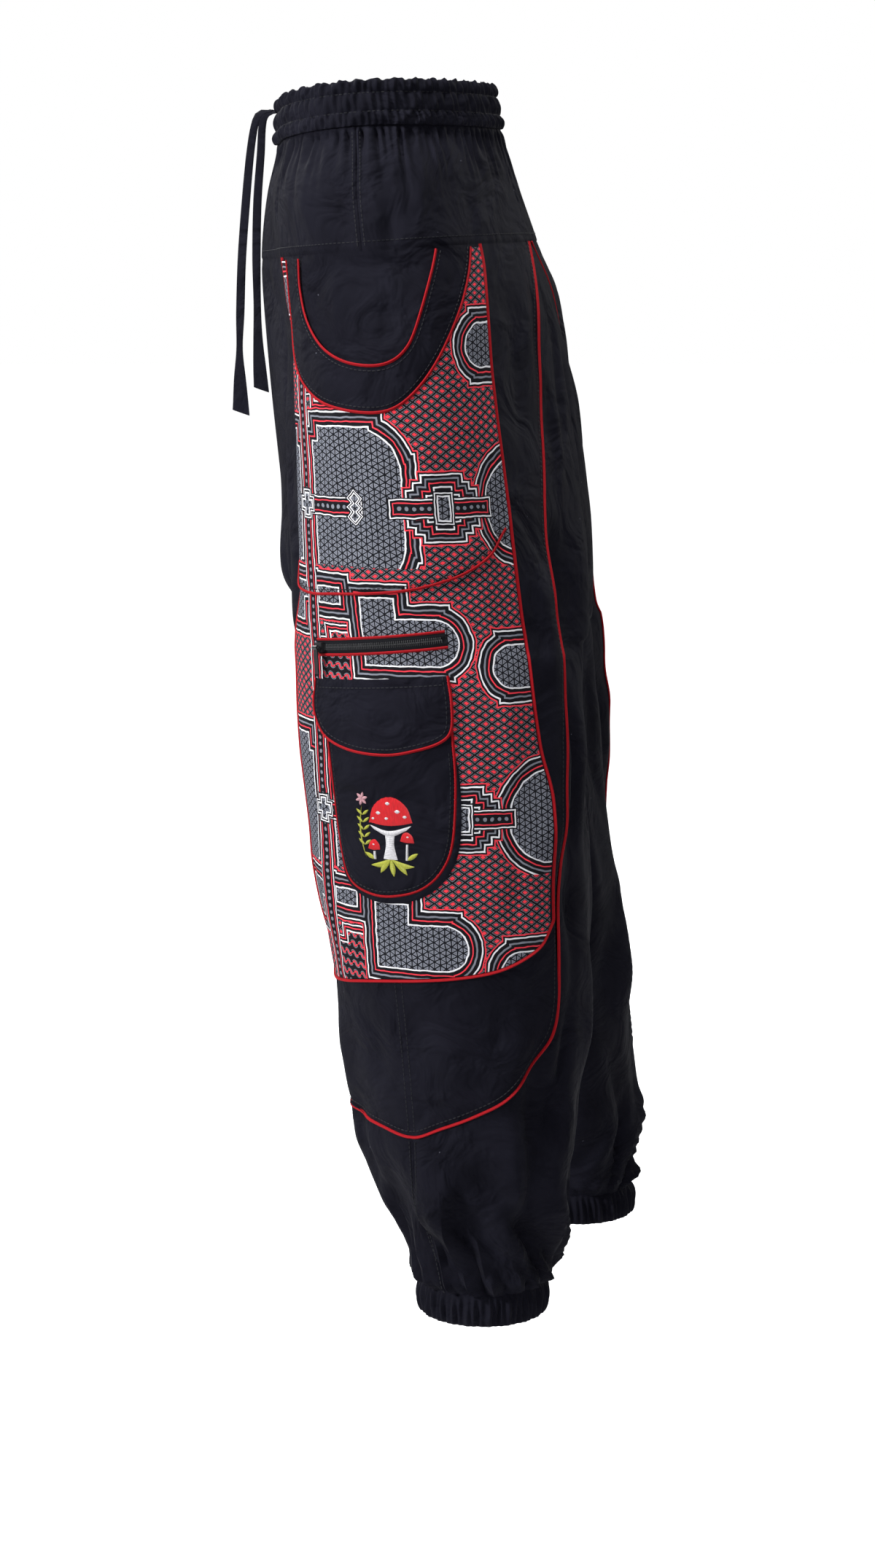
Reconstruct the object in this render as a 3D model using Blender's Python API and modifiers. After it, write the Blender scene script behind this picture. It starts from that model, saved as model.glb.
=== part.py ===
"""Harem pants in the shape they take when worn.

Gathered waistband, yoke, drop crotch, side panels with a printed overlay, round-mouthed
pockets, zip pockets, cargo pockets with flaps, red piping, elastic cuffs and a drawstring.

Tables and sizes are in millimetres and degrees; meshes are in metres.
The front faces -Y, the wearer's left is +X, and the origin is the middle of the waist.

A place on the cloth is given as (arc, level): level is the height before the waist's tilt,
and arc is the distance round the leg from its side seam, positive towards the back.
"""
import math
from collections import namedtuple
from functools import lru_cache

import bmesh
import bpy
import numpy as np
from mathutils import Matrix, Vector

MM = 0.001
LEFT, RIGHT = 1, -1
SIDES = {"left": LEFT, "right": RIGHT}

# Cloth walls and the gaps between them
CLOTH = 1.3
SEAM_GAP = 0.3
HALF_GAP = SEAM_GAP / 2
OVERLAY = 1.0
PRINT_LIFT = 0.35
POCKET_LIFT = 2.8
PATCH_LIFT = 3.5
TAPE_LIFT = 2.2
FLAP_ROOT_LIFT = 1.9
FLAP_LIFT = 6.8
PIPING_WIDTH = 3.4
PIPING_HEIGHT = 2.4
ON_PRINT_SEAT = 2.8
PRINT_PIPING_SEAT = 0.9
SEAM_PIPING_SEAT = 0.7
CORNER_PIPING_SEAT = 2.0
FRONT_PIPING_RISE = 1.4
CORNER_REACH = 25.0
SEAM_PIPING_DROP = 3.0

# Heights
WAIST_TOP = 18.0
WAIST_BOTTOM = -18.0
YOKE_SEAM = -114.0
CROTCH = -430.0
CUFF_TOP = -957.0
HEM = -981.0

# The waist leans forward and rises a little over the hips
WAIST_LEAN = math.tan(math.radians(3.8))
LEAN_STARTS = -300.0
LEAN_FULL = -150.0
HIP_RISE = 5.0
HIP_RISE_REACH = 120.0

# Gathers
WAIST_GATHERS = 22
WAIST_GATHER_DEPTH = 0.9
YOKE_GATHERS = 6
YOKE_GATHER_DEPTH = 2.4
YOKE_GATHER_FADE = 1.3
CUFF_GATHERS = 14
CUFF_GATHER_DEPTH = 0.9
CUFF_TURN = 1.0
CUFF_INSIDE = -0.2

# How far the gathered casings puff out: (level, puff)
WAIST_PUFFS = [(WAIST_TOP, 2.6), (12.5, 4.3), (7.5, 2.7), (0, 4.6), (-7, 2.7), (WAIST_BOTTOM + HALF_GAP, 3.4)]
YOKE_LEVELS = [WAIST_BOTTOM - HALF_GAP, -34, -60, -88, YOKE_SEAM + HALF_GAP]
CUFF_PUFFS = [(CUFF_TOP - HALF_GAP, 1.6), (CUFF_TOP - 8, 3.0), (CUFF_TOP - 16, 3.0), (HEM, 1.6)]

Section = namedtuple(
    "Section", "level centre_x centre_y half_x half_y front_pull back_pull seam_turn right_step")
SECTIONS = [
    Section(-995, 138.0, 111.5, 50.0, 51.0, 0, 0, -16, 24),
    Section(-957, 138.0, 111.5, 50.0, 51.5, 0, 0, -18, 21),
    Section(-925, 137.5, 110.5, 58.5, 64.0, 0, 0, -25, 10),
    Section(-890, 135.5, 106.0, 69.5, 77.0, 0, 0, -27, 4),
    Section(-850, 133.0, 101.0, 75.0, 85.5, 0, 0, -22, -2),
    Section(-800, 130.5, 97.0, 79.5, 92.5, 0, 0, -19, -8),
    Section(-740, 128.0, 93.0, 83.0, 100.0, 0, 0, -18, -14),
    Section(-680, 125.0, 88.0, 87.0, 106.5, 0, 0, -17, -20),
    Section(-600, 121.0, 79.5, 92.0, 113.0, 0, 0, -13, -25),
    Section(-500, 115.0, 69.5, 97.0, 116.5, 0, 0, -9, -27),
    Section(-430, 104.0, 63.0, 103.8, 116.0, 0, 0, -8, -24),
    Section(-425, 99.0, 61.5, 109.0, 115.5, 20, 12, -7.5, -24),
    Section(-410, 92.0, 58.0, 116.0, 114.5, 44, 22, -6.5, -22),
    Section(-378, 80.0, 54.0, 127.0, 113.0, 57, 24, -6.5, -18),
    Section(-300, 54.0, 44.0, 148.0, 109.0, 43, 12, -5.5, -8),
    Section(-212, 24.0, 32.0, 168.0, 106.0, 36, 5, -3.8, 0),
    Section(-160, 8.0, 26.0, 174.0, 105.0, 34, 2, -2, 0),
    Section(-113, 0.0, 14.0, 167.0, 103.0, 26, 0, 2.5, 0),
    Section(-60, 0.0, 2.0, 147.0, 98.0, 14, 0, 4, 0),
    Section(-18, 0.0, -1.0, 117.0, 89.0, 11, 0, 1, 0),
    Section(20, 0.0, -4.0, 110.0, 84.0, 10, 0, 1, 0),
]
SECTION_SAMPLES = 241
SHARP_ANGLE = 50.0
PULL_REACH = 0.35
PULL_POWER = 1.6
STEP_FULL = -520.0
STEP_REACH = 60.0

# The largest folds: a ridge has a positive depth, a valley a negative one
Fold = namedtuple("Fold", "top bottom arc_top arc_bottom width depth")
FOLDS = [
    Fold(-140, -430, -112, -122, 18, -7),    # hollow beside the front edge of the print
    Fold(-330, -620, 162, 130, 20, 6),       # ridge that the panel rolls over at the back
    Fold(-320, -680, 194, 162, 21, -11),     # hollow behind that ridge
    Fold(-150, -560, 236, 214, 20, 6),       # back of the thigh
    Fold(-240, -560, -205, -190, 24, -9),    # front of the thigh
    Fold(-330, -700, -250, -226, 22, 7),     # inner front
    Fold(-420, -760, 262, 232, 24, 7),       # inner back
    Fold(-700, -950, 120, 92, 11, -6),       # calf, behind the panel's lowest corner
    Fold(-760, -953, 150, 116, 11, 5),
    Fold(-840, -953, 40, 74, 10, -5),        # slanting folds above the ankle
    Fold(-850, -953, 12, 42, 10, 4.5),
    Fold(-850, -953, -30, -14, 11, -4.5),
    Fold(-690, -940, -92, -62, 15, 4.5),     # front of the calf
    Fold(-780, -950, -150, -100, 15, -5.5),
    Fold(-800, -953, 200, 146, 14, -6),      # inner calf
    Fold(-60, -135, 26, 24, 7, -4),          # creases that run down from the waist
    Fold(-40, -116, -14, -6, 7, -2.5),
    Fold(-30, -116, 60, 44, 8, 3),
    Fold(-50, -135, 104, 108, 9, -3),
    Fold(-36, -116, -60, -40, 8, 2.5),
]
FOLD_EASE = 60.0

# Edges of the side panel and of its print: arc at a level
EdgePoint = namedtuple("EdgePoint", "level arc")
FRONT_EDGE = [EdgePoint(-765, -115), EdgePoint(-600, -118), EdgePoint(-400, -119),
              EdgePoint(-212, -112), EdgePoint(-114, -104)]
PRINT_BACK = [EdgePoint(-700, 134), EdgePoint(-640, 133.5), EdgePoint(-546, 131), EdgePoint(-498, 122),
              EdgePoint(-427, 117), EdgePoint(-323, 118), EdgePoint(-221, 115), EdgePoint(-114, 109)]
BACK_EDGE = [EdgePoint(-700, 136.5), EdgePoint(-600, 144.5), EdgePoint(-450, 153), EdgePoint(-354, 165),
             EdgePoint(-267, 184), EdgePoint(-196, 199), EdgePoint(-114, 206)]

# Columns of the side panel from front to back: where each crosses the print's lower edge
# and where it ends on the panel's curved lower edge
Column = namedtuple("Column", "print_level end_level end_arc")
COLUMNS = [
    Column(-692, -765, -115), Column(-699, -792, -104), Column(-697, -806, -84), Column(-694, -812, -58),
    Column(-690, -815.5, -30), Column(-687, -819, 0), Column(-684, -808.5, 27), Column(-681, -797.5, 54),
    Column(-677, -784, 82), Column(-667, -763, 106), Column(-645, -742, 124), Column(-648, -728, 131),
    Column(-651, -714, 134.5), Column(-655, -700, 136.5),
]
SEAM_COLUMN = 5
PRINT_COLUMN = 10
PRINT_ROWS = 10
PRINT_FIRST_ROW = 3
LOWER_ROWS = 3
PANEL_SEGMENTS = 7
ANKLE_LEVELS = [-843, -866, -888, -908, -926, -942, CUFF_TOP + HALF_GAP]
RISE_LEVELS = [-410, -424, -430, -434]
FRONT_EXTRA_LEVELS = [-490, -547, -605]

# Outlines of the pockets: (arc, level)
POCKET_MOUTH = [(-64, -117), (-66, -142), (-57, -166), (-37, -187), (-10, -200), (18, -202),
                (36, -190), (47, -163), (55, -136), (60, -117)]
POCKET_EDGE = [(-88, -117), (-92, -150), (-90, -180), (-74, -208), (-44, -228), (-8, -237), (22, -236),
               (46, -219), (68, -190), (84, -160), (92, -137), (96, -117)]
POCKET_HEM = [(-110, -362), (-100, -378), (-70, -382), (-40, -380), (-11, -378), (20, -375), (45, -370),
              (73, -361), (97, -347), (111, -331)]
ZIP_LEFT = (-65, -424.5)
ZIP_RIGHT = (51, -412.5)
ZIP_HALF_HEIGHT = 5.0
PATCH_FRONT_END = -345.0
PATCH_BACK_END = -318.0
PATCH_HEM_GAP = 1.6
FLAP_OUTLINE = [(-71, -450), (-73, -466), (-69, -482), (-58, -495), (-33, -503), (-2, -504.5),
                (22, -500), (42, -493), (51, -483), (52, -462), (50, -441)]
CARGO_OUTLINE = [(-58, -500), (-54, -540), (-48, -590), (-39, -611), (-17, -619), (4, -618),
                 (25, -611), (41, -596), (50, -573), (53, -529), (52, -494)]
CARGO_TOP = -474.0
CARGO_RIM = 4.0
CARGO_FULLNESS = [0.5, 1.4, 1.4, 0]

# Zip slider and its pull, along the chain, down the cloth and out from it
SLIDER_SHARE = 0.045
CHAIN_SHARE = 0.12
SLIDER_LENGTH = 9.0
SLIDER_WIDTH = 7.6
SLIDER_LOW = 3.5
SLIDER_HIGH = 6.2
POST_LENGTH = 1.6
BAR_RADIUS = 0.7
BAR_LIFT = 8.6
POST_ROOT = 0.5
PULL_EYE = 1.05
PULL_ROUND = 1.75
PULL_WIDTH = 5.0
PULL_LENGTH = 21.0
PULL_THICKNESS = 1.2

# Drawstring: the two ends hang from the front of the waist
TiePoint = namedtuple("TiePoint", "x y z width")
TIE_LEFT = [TiePoint(7, -102.3, 1, 8), TiePoint(8, -112.5, -1, 8), TiePoint(9, -117, -10, 8),
            TiePoint(10, -121, -34, 8.5), TiePoint(11, -125, -74, 9), TiePoint(11, -129, -120, 9),
            TiePoint(11, -131, -165, 9), TiePoint(11, -132, -196, 7), TiePoint(11, -132, -222, 13),
            TiePoint(12, -131, -250, 18)]
TIE_RIGHT = [TiePoint(-7, -100.8, 1, 8), TiePoint(-8, -112, -1, 8), TiePoint(-9, -116, -10, 8),
             TiePoint(-10, -118, -34, 8.5), TiePoint(-12, -122, -74, 9), TiePoint(-14, -124, -120, 9),
             TiePoint(-15, -124, -160, 8), TiePoint(-16, -124, -188, 10), TiePoint(-17, -123, -214, 14),
             TiePoint(-18, -122, -232, 16)]
TIE_THICKNESS = 1.6

Finish = namedtuple("Finish", "colour roughness metallic")
FINISHES = {
    "black_cotton": Finish((0.018, 0.018, 0.022), 0.9, 0.0),
    "printed_cotton": Finish((0.20, 0.10, 0.11), 0.85, 0.0),
    "red_piping": Finish((0.50, 0.01, 0.015), 0.6, 0.0),
    "zip_tape": Finish((0.012, 0.012, 0.013), 0.8, 0.0),
    "zip_metal": Finish((0.05, 0.05, 0.05), 0.45, 0.8),
}


# ---------------------------------------------------------------- worn surface

def smoothstep(value):
    value = np.clip(value, 0.0, 1.0)
    return value * value * (3 - 2 * value)


def cubic_slopes(places, values):
    """Slopes of a monotone cubic through a table's rows."""
    steps = np.diff(places)
    rises = np.diff(values) / steps
    slopes = np.zeros(len(places))
    slopes[0], slopes[-1] = rises[0], rises[-1]
    for i in range(1, len(places) - 1):
        if rises[i - 1] * rises[i] > 0:
            near = 2 * steps[i] + steps[i - 1]
            far = steps[i] + 2 * steps[i - 1]
            slopes[i] = (near + far) / (near / rises[i - 1] + far / rises[i])
    return slopes


class Table:
    """A named-column table read as smooth functions of its first column."""

    def __init__(self, rows):
        ordered = sorted(rows)
        self.places = np.array([row[0] for row in ordered], float)
        self.columns = {}
        for name in ordered[0]._fields[1:]:
            values = np.array([getattr(row, name) for row in ordered], float)
            self.columns[name] = (values, cubic_slopes(self.places, values))

    def at(self, place, name):
        values, slopes = self.columns[name]
        place = float(np.clip(place, self.places[0], self.places[-1]))
        i = int(np.clip(np.searchsorted(self.places, place) - 1, 0, len(self.places) - 2))
        step = self.places[i + 1] - self.places[i]
        t = (place - self.places[i]) / step
        return ((1 + 2 * t) * (1 - t) ** 2 * values[i] + t * (1 - t) ** 2 * step * slopes[i]
                + t * t * (3 - 2 * t) * values[i + 1] + t * t * (t - 1) * step * slopes[i + 1])


SECTION_TABLE = Table(SECTIONS)
FRONT_TABLE = Table(FRONT_EDGE)
PRINT_TABLE = Table(PRINT_BACK)
BACK_TABLE = Table(BACK_EDGE)


def fold_depth(arcs, level):
    """Sum of the folds at one level: each is a bell across its line, eased in at both ends."""
    total = np.zeros_like(arcs)
    for fold in FOLDS:
        if fold.bottom < level < fold.top:
            span = fold.top - fold.bottom
            ease = min(FOLD_EASE, span / 2)
            ends = smoothstep(min(fold.top - level, level - fold.bottom) / ease)
            middle = fold.arc_top + (fold.arc_bottom - fold.arc_top) * (fold.top - level) / span
            total += fold.depth * ends * np.exp(-((arcs - middle) / fold.width) ** 2)
    return total


@lru_cache(maxsize=None)
def section(level, side):
    """One level's outline of a half garment: arcs from the side seam, x and y.

    Above the crotch it is an ellipse cut at the middle of the body, and the cloth there is
    pulled out to the front and the back; below it, it is a whole ellipse round the leg.
    """
    read = {name: SECTION_TABLE.at(level, name) for name in Section._fields[1:]}
    start = math.acos(min(read["centre_x"] / read["half_x"], 1.0)) if level > CROTCH else 0.0
    turn = np.linspace(start, 2 * math.pi - start, SECTION_SAMPLES)
    x = read["centre_x"] - read["half_x"] * np.cos(turn)
    y = read["centre_y"] - read["half_y"] * np.sin(turn)
    reach = read["centre_x"] + PULL_REACH * read["half_x"]
    near_middle = np.clip(1 - x / reach, 0, 1) ** PULL_POWER
    y += np.where(np.sin(turn) > 0, -read["front_pull"], read["back_pull"]) * near_middle
    lengths = np.concatenate([[0.0], np.cumsum(np.hypot(np.diff(x), np.diff(y)))])
    seam = np.interp(math.pi + math.radians(read["seam_turn"]), turn, lengths)
    arcs = lengths - seam
    along_x, along_y = np.gradient(x), np.gradient(y)
    length = np.hypot(along_x, along_y)
    depth = fold_depth(arcs, level)
    x = x + along_y / length * depth
    y = y - along_x / length * depth
    if side == RIGHT:
        y = y + read["right_step"] * step_share(x, level)
    return arcs, x, y


def step_share(x, level):
    """Share of the right leg's step that a place takes: none where the halves meet at the body's middle."""
    joined = smoothstep((level - STEP_FULL) / (CROTCH - STEP_FULL))
    return 1 - joined * (1 - smoothstep(x / STEP_REACH))


def waist_lean(x, y, level):
    """Height that the waist's tilt and the rise over the hips add at a level."""
    lean = smoothstep((level - LEAN_STARTS) / (LEAN_FULL - LEAN_STARTS))
    rise = smoothstep((level - YOKE_SEAM) / (WAIST_BOTTOM - YOKE_SEAM))
    return lean * WAIST_LEAN * y + rise * HIP_RISE * ((x / HIP_RISE_REACH) ** 2 - 0.5)


def point(arc, level, side):
    level = round(float(level), 3)
    arcs, xs, ys = section(level, side)
    x = np.interp(arc, arcs, xs)
    y = np.interp(arc, arcs, ys)
    return np.array([x, y, level + waist_lean(x, y, level)])


def lifted(arc, level, lift, side):
    """The cloth's point at (arc, level), moved out along its normal by lift."""
    along = point(arc + 1, level, side) - point(arc - 1, level, side)
    down = point(arc, level - 1, side) - point(arc, level + 1, side)
    return point(arc, level, side) + unit(np.cross(down, along)) * lift


def unit(vector):
    return vector / np.linalg.norm(vector)


def front_middle(level, side):
    return section(round(float(level), 3), side)[0][0]


def back_middle(level, side):
    return section(round(float(level), 3), side)[0][-1]


# ---------------------------------------------------------------- meshes

def make_object(name, vertices, faces, finish, side=LEFT):
    """A mesh object from points in millimetres on the left side, or its mirror image on the right."""
    vertices = np.asarray(vertices, float).reshape(-1, 3) * MM
    if side == RIGHT:
        vertices = vertices * (-1, 1, 1)
        faces = [face[::-1] for face in faces]
    mesh = bpy.data.meshes.new(name)
    mesh.from_pydata(vertices.tolist(), [], faces)
    mesh.shade_smooth()
    mesh.set_sharp_from_angle(angle=math.radians(SHARP_ANGLE))
    return dress(bpy.data.objects.new(name, mesh), finish)


def dress(obj, finish):
    """Link an object into the garment's collection and give it its material."""
    bpy.data.collections["harem_pants"].objects.link(obj)
    material = bpy.data.materials.get(finish) or new_material(finish)
    obj.data.materials.append(material)
    return obj


def new_material(name):
    finish = FINISHES[name]
    material = bpy.data.materials.new(name)
    material.use_nodes = True
    shader = material.node_tree.nodes["Principled BSDF"]
    shader.inputs["Base Color"].default_value = (*finish.colour, 1.0)
    shader.inputs["Roughness"].default_value = finish.roughness
    shader.inputs["Metallic"].default_value = finish.metallic
    return material


def grid_faces(rows, cols, ring=False):
    """Triangles of a grid of points: rows from the top, columns from front to back."""
    faces = []
    for i in range(rows - 1):
        for j in range(cols if ring else cols - 1):
            a, b = i * cols + j, i * cols + (j + 1) % cols
            faces.append((a, a + cols, b + cols))
            faces.append((a, b + cols, b))
    return faces


def wall(name, outer, inner, finish, side=LEFT, ring=False):
    """A closed wall lofted between an outer and an inner grid of points.

    The rims follow the worn surface's normal, which both pieces at a seam share, and not the
    piece's own faces, so that neighbours stay parallel there.
    """
    rows, cols = outer.shape[:2]
    count = rows * cols
    faces = grid_faces(rows, cols, ring)
    faces += [tuple(count + corner for corner in face[::-1]) for face in faces]
    top = list(range(cols)) + ([0] if ring else [])
    rim = [top, [(rows - 1) * cols + j for j in top][::-1]]
    if not ring:
        front = [i * cols for i in range(rows)]
        rim += [front[::-1], [i + cols - 1 for i in front]]
    for line in rim:
        for a, b in zip(line, line[1:]):
            faces.append((a, b, count + b))
            faces.append((a, count + b, count + a))
    make_object(name, [*outer.reshape(-1, 3), *inner.reshape(-1, 3)], faces, finish, side)


def sheet(name, outer, thickness, finish, side=LEFT):
    """An open surface with a Solidify modifier, which thickens it inwards."""
    piece = make_object(name, outer, grid_faces(*outer.shape[:2]), finish, side)
    solidify = piece.modifiers.new("thickness", "SOLIDIFY")
    solidify.thickness = thickness * MM
    solidify.offset = -1.0


def cloth_grid(arcs, levels, lifts, side, split=True, surface=lifted):
    """Points of a grid of arcs and levels; split keeps them off the middle of the body."""
    lifts = np.broadcast_to(lifts, arcs.shape)
    grid = np.array([[surface(arcs[i, j], levels[i, j], lifts[i, j], side)
                      for j in range(arcs.shape[1])] for i in range(arcs.shape[0])])
    if split:
        grid[..., 0] = np.maximum(grid[..., 0], HALF_GAP)
    return grid


def overlay(name, arcs, levels, lift, finish, side):
    """A piece sewn onto the side panel: a sheet whose underside is at a lift over it."""
    outer = cloth_grid(arcs, levels, np.asarray(lift) + OVERLAY, side, surface=on_panel)
    sheet(name, outer, OVERLAY, finish, side)


def smooth_outline(points, count):
    """Even samples of a Catmull-Rom curve through an outline's few points."""
    p = np.array(points, float)
    p = np.vstack([2 * p[0] - p[1], p, 2 * p[-1] - p[-2]])
    t = np.linspace(0, 1, 12, endpoint=False)[:, None]
    runs = []
    for a, b, c, d in zip(p[:-3], p[1:-2], p[2:-1], p[3:]):
        runs.append(0.5 * (2 * b + (c - a) * t + (2 * a - 5 * b + 4 * c - d) * t ** 2
                           + (3 * b - a - 3 * c + d) * t ** 3))
    curve = np.vstack(runs + [p[-2:-1]])
    lengths = np.concatenate([[0], np.cumsum(np.hypot(*np.diff(curve, axis=0).T))])
    even = np.linspace(0, lengths[-1], count)
    return np.stack([np.interp(even, lengths, curve[:, 0]), np.interp(even, lengths, curve[:, 1])], axis=1)


def sideways(path, distance):
    """A path on the cloth moved to its left-hand side, as seen going along it."""
    along = np.gradient(path, axis=0)
    along /= np.hypot(*along.T)[:, None]
    return path + np.stack([-along[:, 1], along[:, 0]], axis=1) * distance


# ---------------------------------------------------------------- waist

def ring_half(level, count, side):
    """Arcs of one half of a waist ring from its side seam to both middles."""
    start, end = front_middle(level, side), back_middle(level, side)
    front = np.linspace(start, 0, count, endpoint=False)
    back = np.linspace(0, end, count + 1)
    return np.concatenate([front, back])


def full_ring(level, count, lifts):
    """Points right round the waist: front middle, left side, back middle, right side."""
    arcs = ring_half(level, count, LEFT)
    half = np.array([lifted(arc, level, 0, LEFT) for arc in arcs])
    raised = np.array([lifted(arc, level, 1, LEFT) for arc in arcs])
    normal = raised - half
    mirror = np.array([-1, 1, 1])
    ring = np.concatenate([half, half[-2:0:-1] * mirror])
    normals = np.concatenate([normal, normal[-2:0:-1] * mirror])
    return ring + normals * np.asarray(lifts)[:, None]


def gather_wave(count, depth):
    """Alternate ridges and hollows of slightly uneven depth round a gathered edge."""
    index = np.arange(count)
    uneven = 1 + 0.35 * np.sin(2.3 * index) * np.cos(0.7 * index)
    return depth * np.where(index % 2 == 0, 1.0, -1.0) * uneven


def make_waistband():
    """Three rows of elastic in one gathered casing: a puffed outside over a plain inside."""
    wave = gather_wave(4 * WAIST_GATHERS, WAIST_GATHER_DEPTH)
    outer = np.array([full_ring(level, WAIST_GATHERS, puff + wave) for level, puff in WAIST_PUFFS])
    inner = np.array([full_ring(level, WAIST_GATHERS, 0 * wave) for level, _ in WAIST_PUFFS])
    wall("waistband", outer, inner, "black_cotton", ring=True)


def make_yoke():
    """Front and back yoke, gathered into the waistband and plain at the lower seam."""
    count = 4 * YOKE_GATHERS
    wave = gather_wave(count + 1, YOKE_GATHER_DEPTH)
    wave[0] = 0
    mirror = np.array([-1, 1, 1])
    for name, ends in (("yoke_front", front_middle), ("yoke_back", back_middle)):
        walls = {0.0: [], -CLOTH: []}
        for level in YOKE_LEVELS:
            middle = ends(level, LEFT)
            arcs = np.linspace(math.copysign(HALF_GAP, middle), middle, count + 1)
            share = smoothstep((level - YOKE_SEAM) / (WAIST_BOTTOM - YOKE_SEAM))
            rise = wave * share ** YOKE_GATHER_FADE
            for lift, rows in walls.items():
                if level == YOKE_LEVELS[-1]:
                    half = along_yoke_seam(arcs, level, lift)
                else:
                    half = np.array([lifted(a, level, r + lift, LEFT) for a, r in zip(arcs, rise)])
                half[-1, 0] = 0
                rows.append(np.concatenate([half, half[-2::-1] * mirror]))
        outer, inner = np.array(walls[0.0]), np.array(walls[-CLOTH])
        if name == "yoke_front":
            outer, inner = outer[:, ::-1], inner[:, ::-1]
        wall(name, outer, inner, "black_cotton")


def along_yoke_seam(arcs, level, lift):
    """Points at the yoke seam, on straight lines between the columns of the pieces below it."""
    front, back = panel_seam(0)[0][0], panel_seam(0)[-1][0]
    columns = np.concatenate([
        np.linspace(front_middle(level, LEFT), front, PANEL_SEGMENTS + 1)[:-1],
        [column_arc(j, level) for j in range(len(COLUMNS))],
        np.linspace(back, back_middle(level, LEFT), PANEL_SEGMENTS + 1)[1:]])
    known = np.array([lifted(arc, level, lift, LEFT) for arc in columns])
    return np.stack([np.interp(arcs, columns, known[:, axis]) for axis in range(3)], axis=1)


# ---------------------------------------------------------------- side panel

def panel_lattice():
    """Arcs and levels of the side panel's rows and columns, out to its seams."""
    top = YOKE_SEAM - HALF_GAP
    rows = PRINT_ROWS + LOWER_ROWS + 1
    arcs = np.zeros((rows, len(COLUMNS)))
    levels = np.zeros_like(arcs)
    for j, column in enumerate(COLUMNS):
        upper = np.linspace(top, column.print_level, PRINT_ROWS + 1)
        lower = np.linspace(column.print_level, column.end_level, LOWER_ROWS + 1)[1:]
        levels[:, j] = np.concatenate([upper, lower])
        for i in range(rows):
            below = max(0.0, (i - PRINT_ROWS) / LOWER_ROWS)
            arcs[i, j] = (1 - below) * column_arc(j, levels[i, j]) + below * column.end_arc
    return arcs, levels


def panel_seam(distance):
    """The side panel's seam, down its front, along its lower edge and up its back, moved inwards."""
    arcs, levels = panel_lattice()
    grid = np.stack([arcs, levels], axis=-1)
    path = np.concatenate([grid[:, 0], grid[-1, 1:-1], grid[::-1, -1]])
    return sideways(path, distance)


def column_arc(j, level):
    """Arc of one column: even steps to each side of the seam, then out to the back edge."""
    if j <= SEAM_COLUMN:
        return FRONT_TABLE.at(level, "arc") * (SEAM_COLUMN - j) / SEAM_COLUMN
    if j <= PRINT_COLUMN:
        return PRINT_TABLE.at(level, "arc") * (j - SEAM_COLUMN) / (PRINT_COLUMN - SEAM_COLUMN)
    share = (j - PRINT_COLUMN) / (len(COLUMNS) - 1 - PRINT_COLUMN)
    inner, outer = PRINT_TABLE.at(level, "arc"), BACK_TABLE.at(level, "arc")
    return inner + (outer - inner) * share


@lru_cache(maxsize=None)
def panel_facets(side):
    """Triangles of the side panel's outside: their (arc, level) corners, points and normals."""
    arcs, levels = panel_lattice()
    rows, cols = arcs.shape
    flat = np.stack([arcs, levels], axis=-1).reshape(-1, 2)
    points = cloth_grid(arcs, levels, 0, side).reshape(-1, 3)
    normals = cloth_grid(arcs, levels, 1, side).reshape(-1, 3) - points
    corners = []
    for i in range(rows - 1):
        for j in range(cols - 1):
            a = i * cols + j
            corners += [(a, a + cols, a + cols + 1), (a, a + cols + 1, a + 1)]
    corners = np.array(corners)
    return flat[corners], points[corners], normals[corners]


def on_panel(arc, level, lift, side):
    """The side panel's own point at (arc, level), moved out along its normal by lift."""
    flat, points, normals = panel_facets(side)
    across, down = flat[:, 1] - flat[:, 0], flat[:, 2] - flat[:, 0]
    offset = (arc, level) - flat[:, 0]
    area = across[:, 0] * down[:, 1] - across[:, 1] * down[:, 0]
    second = (offset[:, 0] * down[:, 1] - offset[:, 1] * down[:, 0]) / area
    third = (across[:, 0] * offset[:, 1] - across[:, 1] * offset[:, 0]) / area
    weights = np.stack([1 - second - third, second, third], axis=1)
    best = np.argmax(weights.min(axis=1))
    return weights[best] @ points[best] + unit(weights[best] @ normals[best]) * lift


def make_side_panel(tag, side):
    arcs, levels = panel_lattice()
    inset = panel_seam(HALF_GAP)
    rows, cols = arcs.shape
    for grid, values in ((arcs, inset[:, 0]), (levels, inset[:, 1])):
        grid[:, 0] = values[:rows]
        grid[-1, 1:-1] = values[rows:-rows]
        grid[:, -1] = values[:-rows - 1:-1]
    levels[0] = YOKE_SEAM - HALF_GAP
    outer, inner = (cloth_grid(arcs, levels, lift, side) for lift in (0, -CLOTH))
    wall(f"outer_panel_{tag}", outer, inner, "black_cotton", side)
    rows = slice(PRINT_FIRST_ROW, PRINT_ROWS + 1)
    cols = slice(0, PRINT_COLUMN + 1)
    printed = cloth_grid(arcs[rows, cols], levels[rows, cols], PRINT_LIFT + OVERLAY, side)
    sheet(f"print_panel_{tag}", printed, OVERLAY, "printed_cotton", side)


def make_leg_panels(tag, side):
    """Front and back of the leg, from the yoke to the cuff, round to the rise and the inseam."""
    seam = panel_seam(-HALF_GAP)
    lowest = PRINT_ROWS + LOWER_ROWS + SEAM_COLUMN
    top = YOKE_SEAM - HALF_GAP
    corner = seam[lowest][1]
    front = seam[:lowest].tolist()
    back = seam[:lowest:-1].tolist()
    front[0][1] = back[0][1] = top
    front += [(-HALF_GAP, level) for level in [corner, *ANKLE_LEVELS]]
    back += [(HALF_GAP, level) for level in [corner, *ANKLE_LEVELS]]
    front = add_rows(front, RISE_LEVELS + FRONT_EXTRA_LEVELS)
    back = add_rows(back, RISE_LEVELS)
    inner_levels = [level for _, level in back]
    make_leg(f"leg_front_{tag}", front, inner_levels, front_middle, 1, side)
    make_leg(f"leg_back_{tag}", back, inner_levels, back_middle, -1, side)


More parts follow.
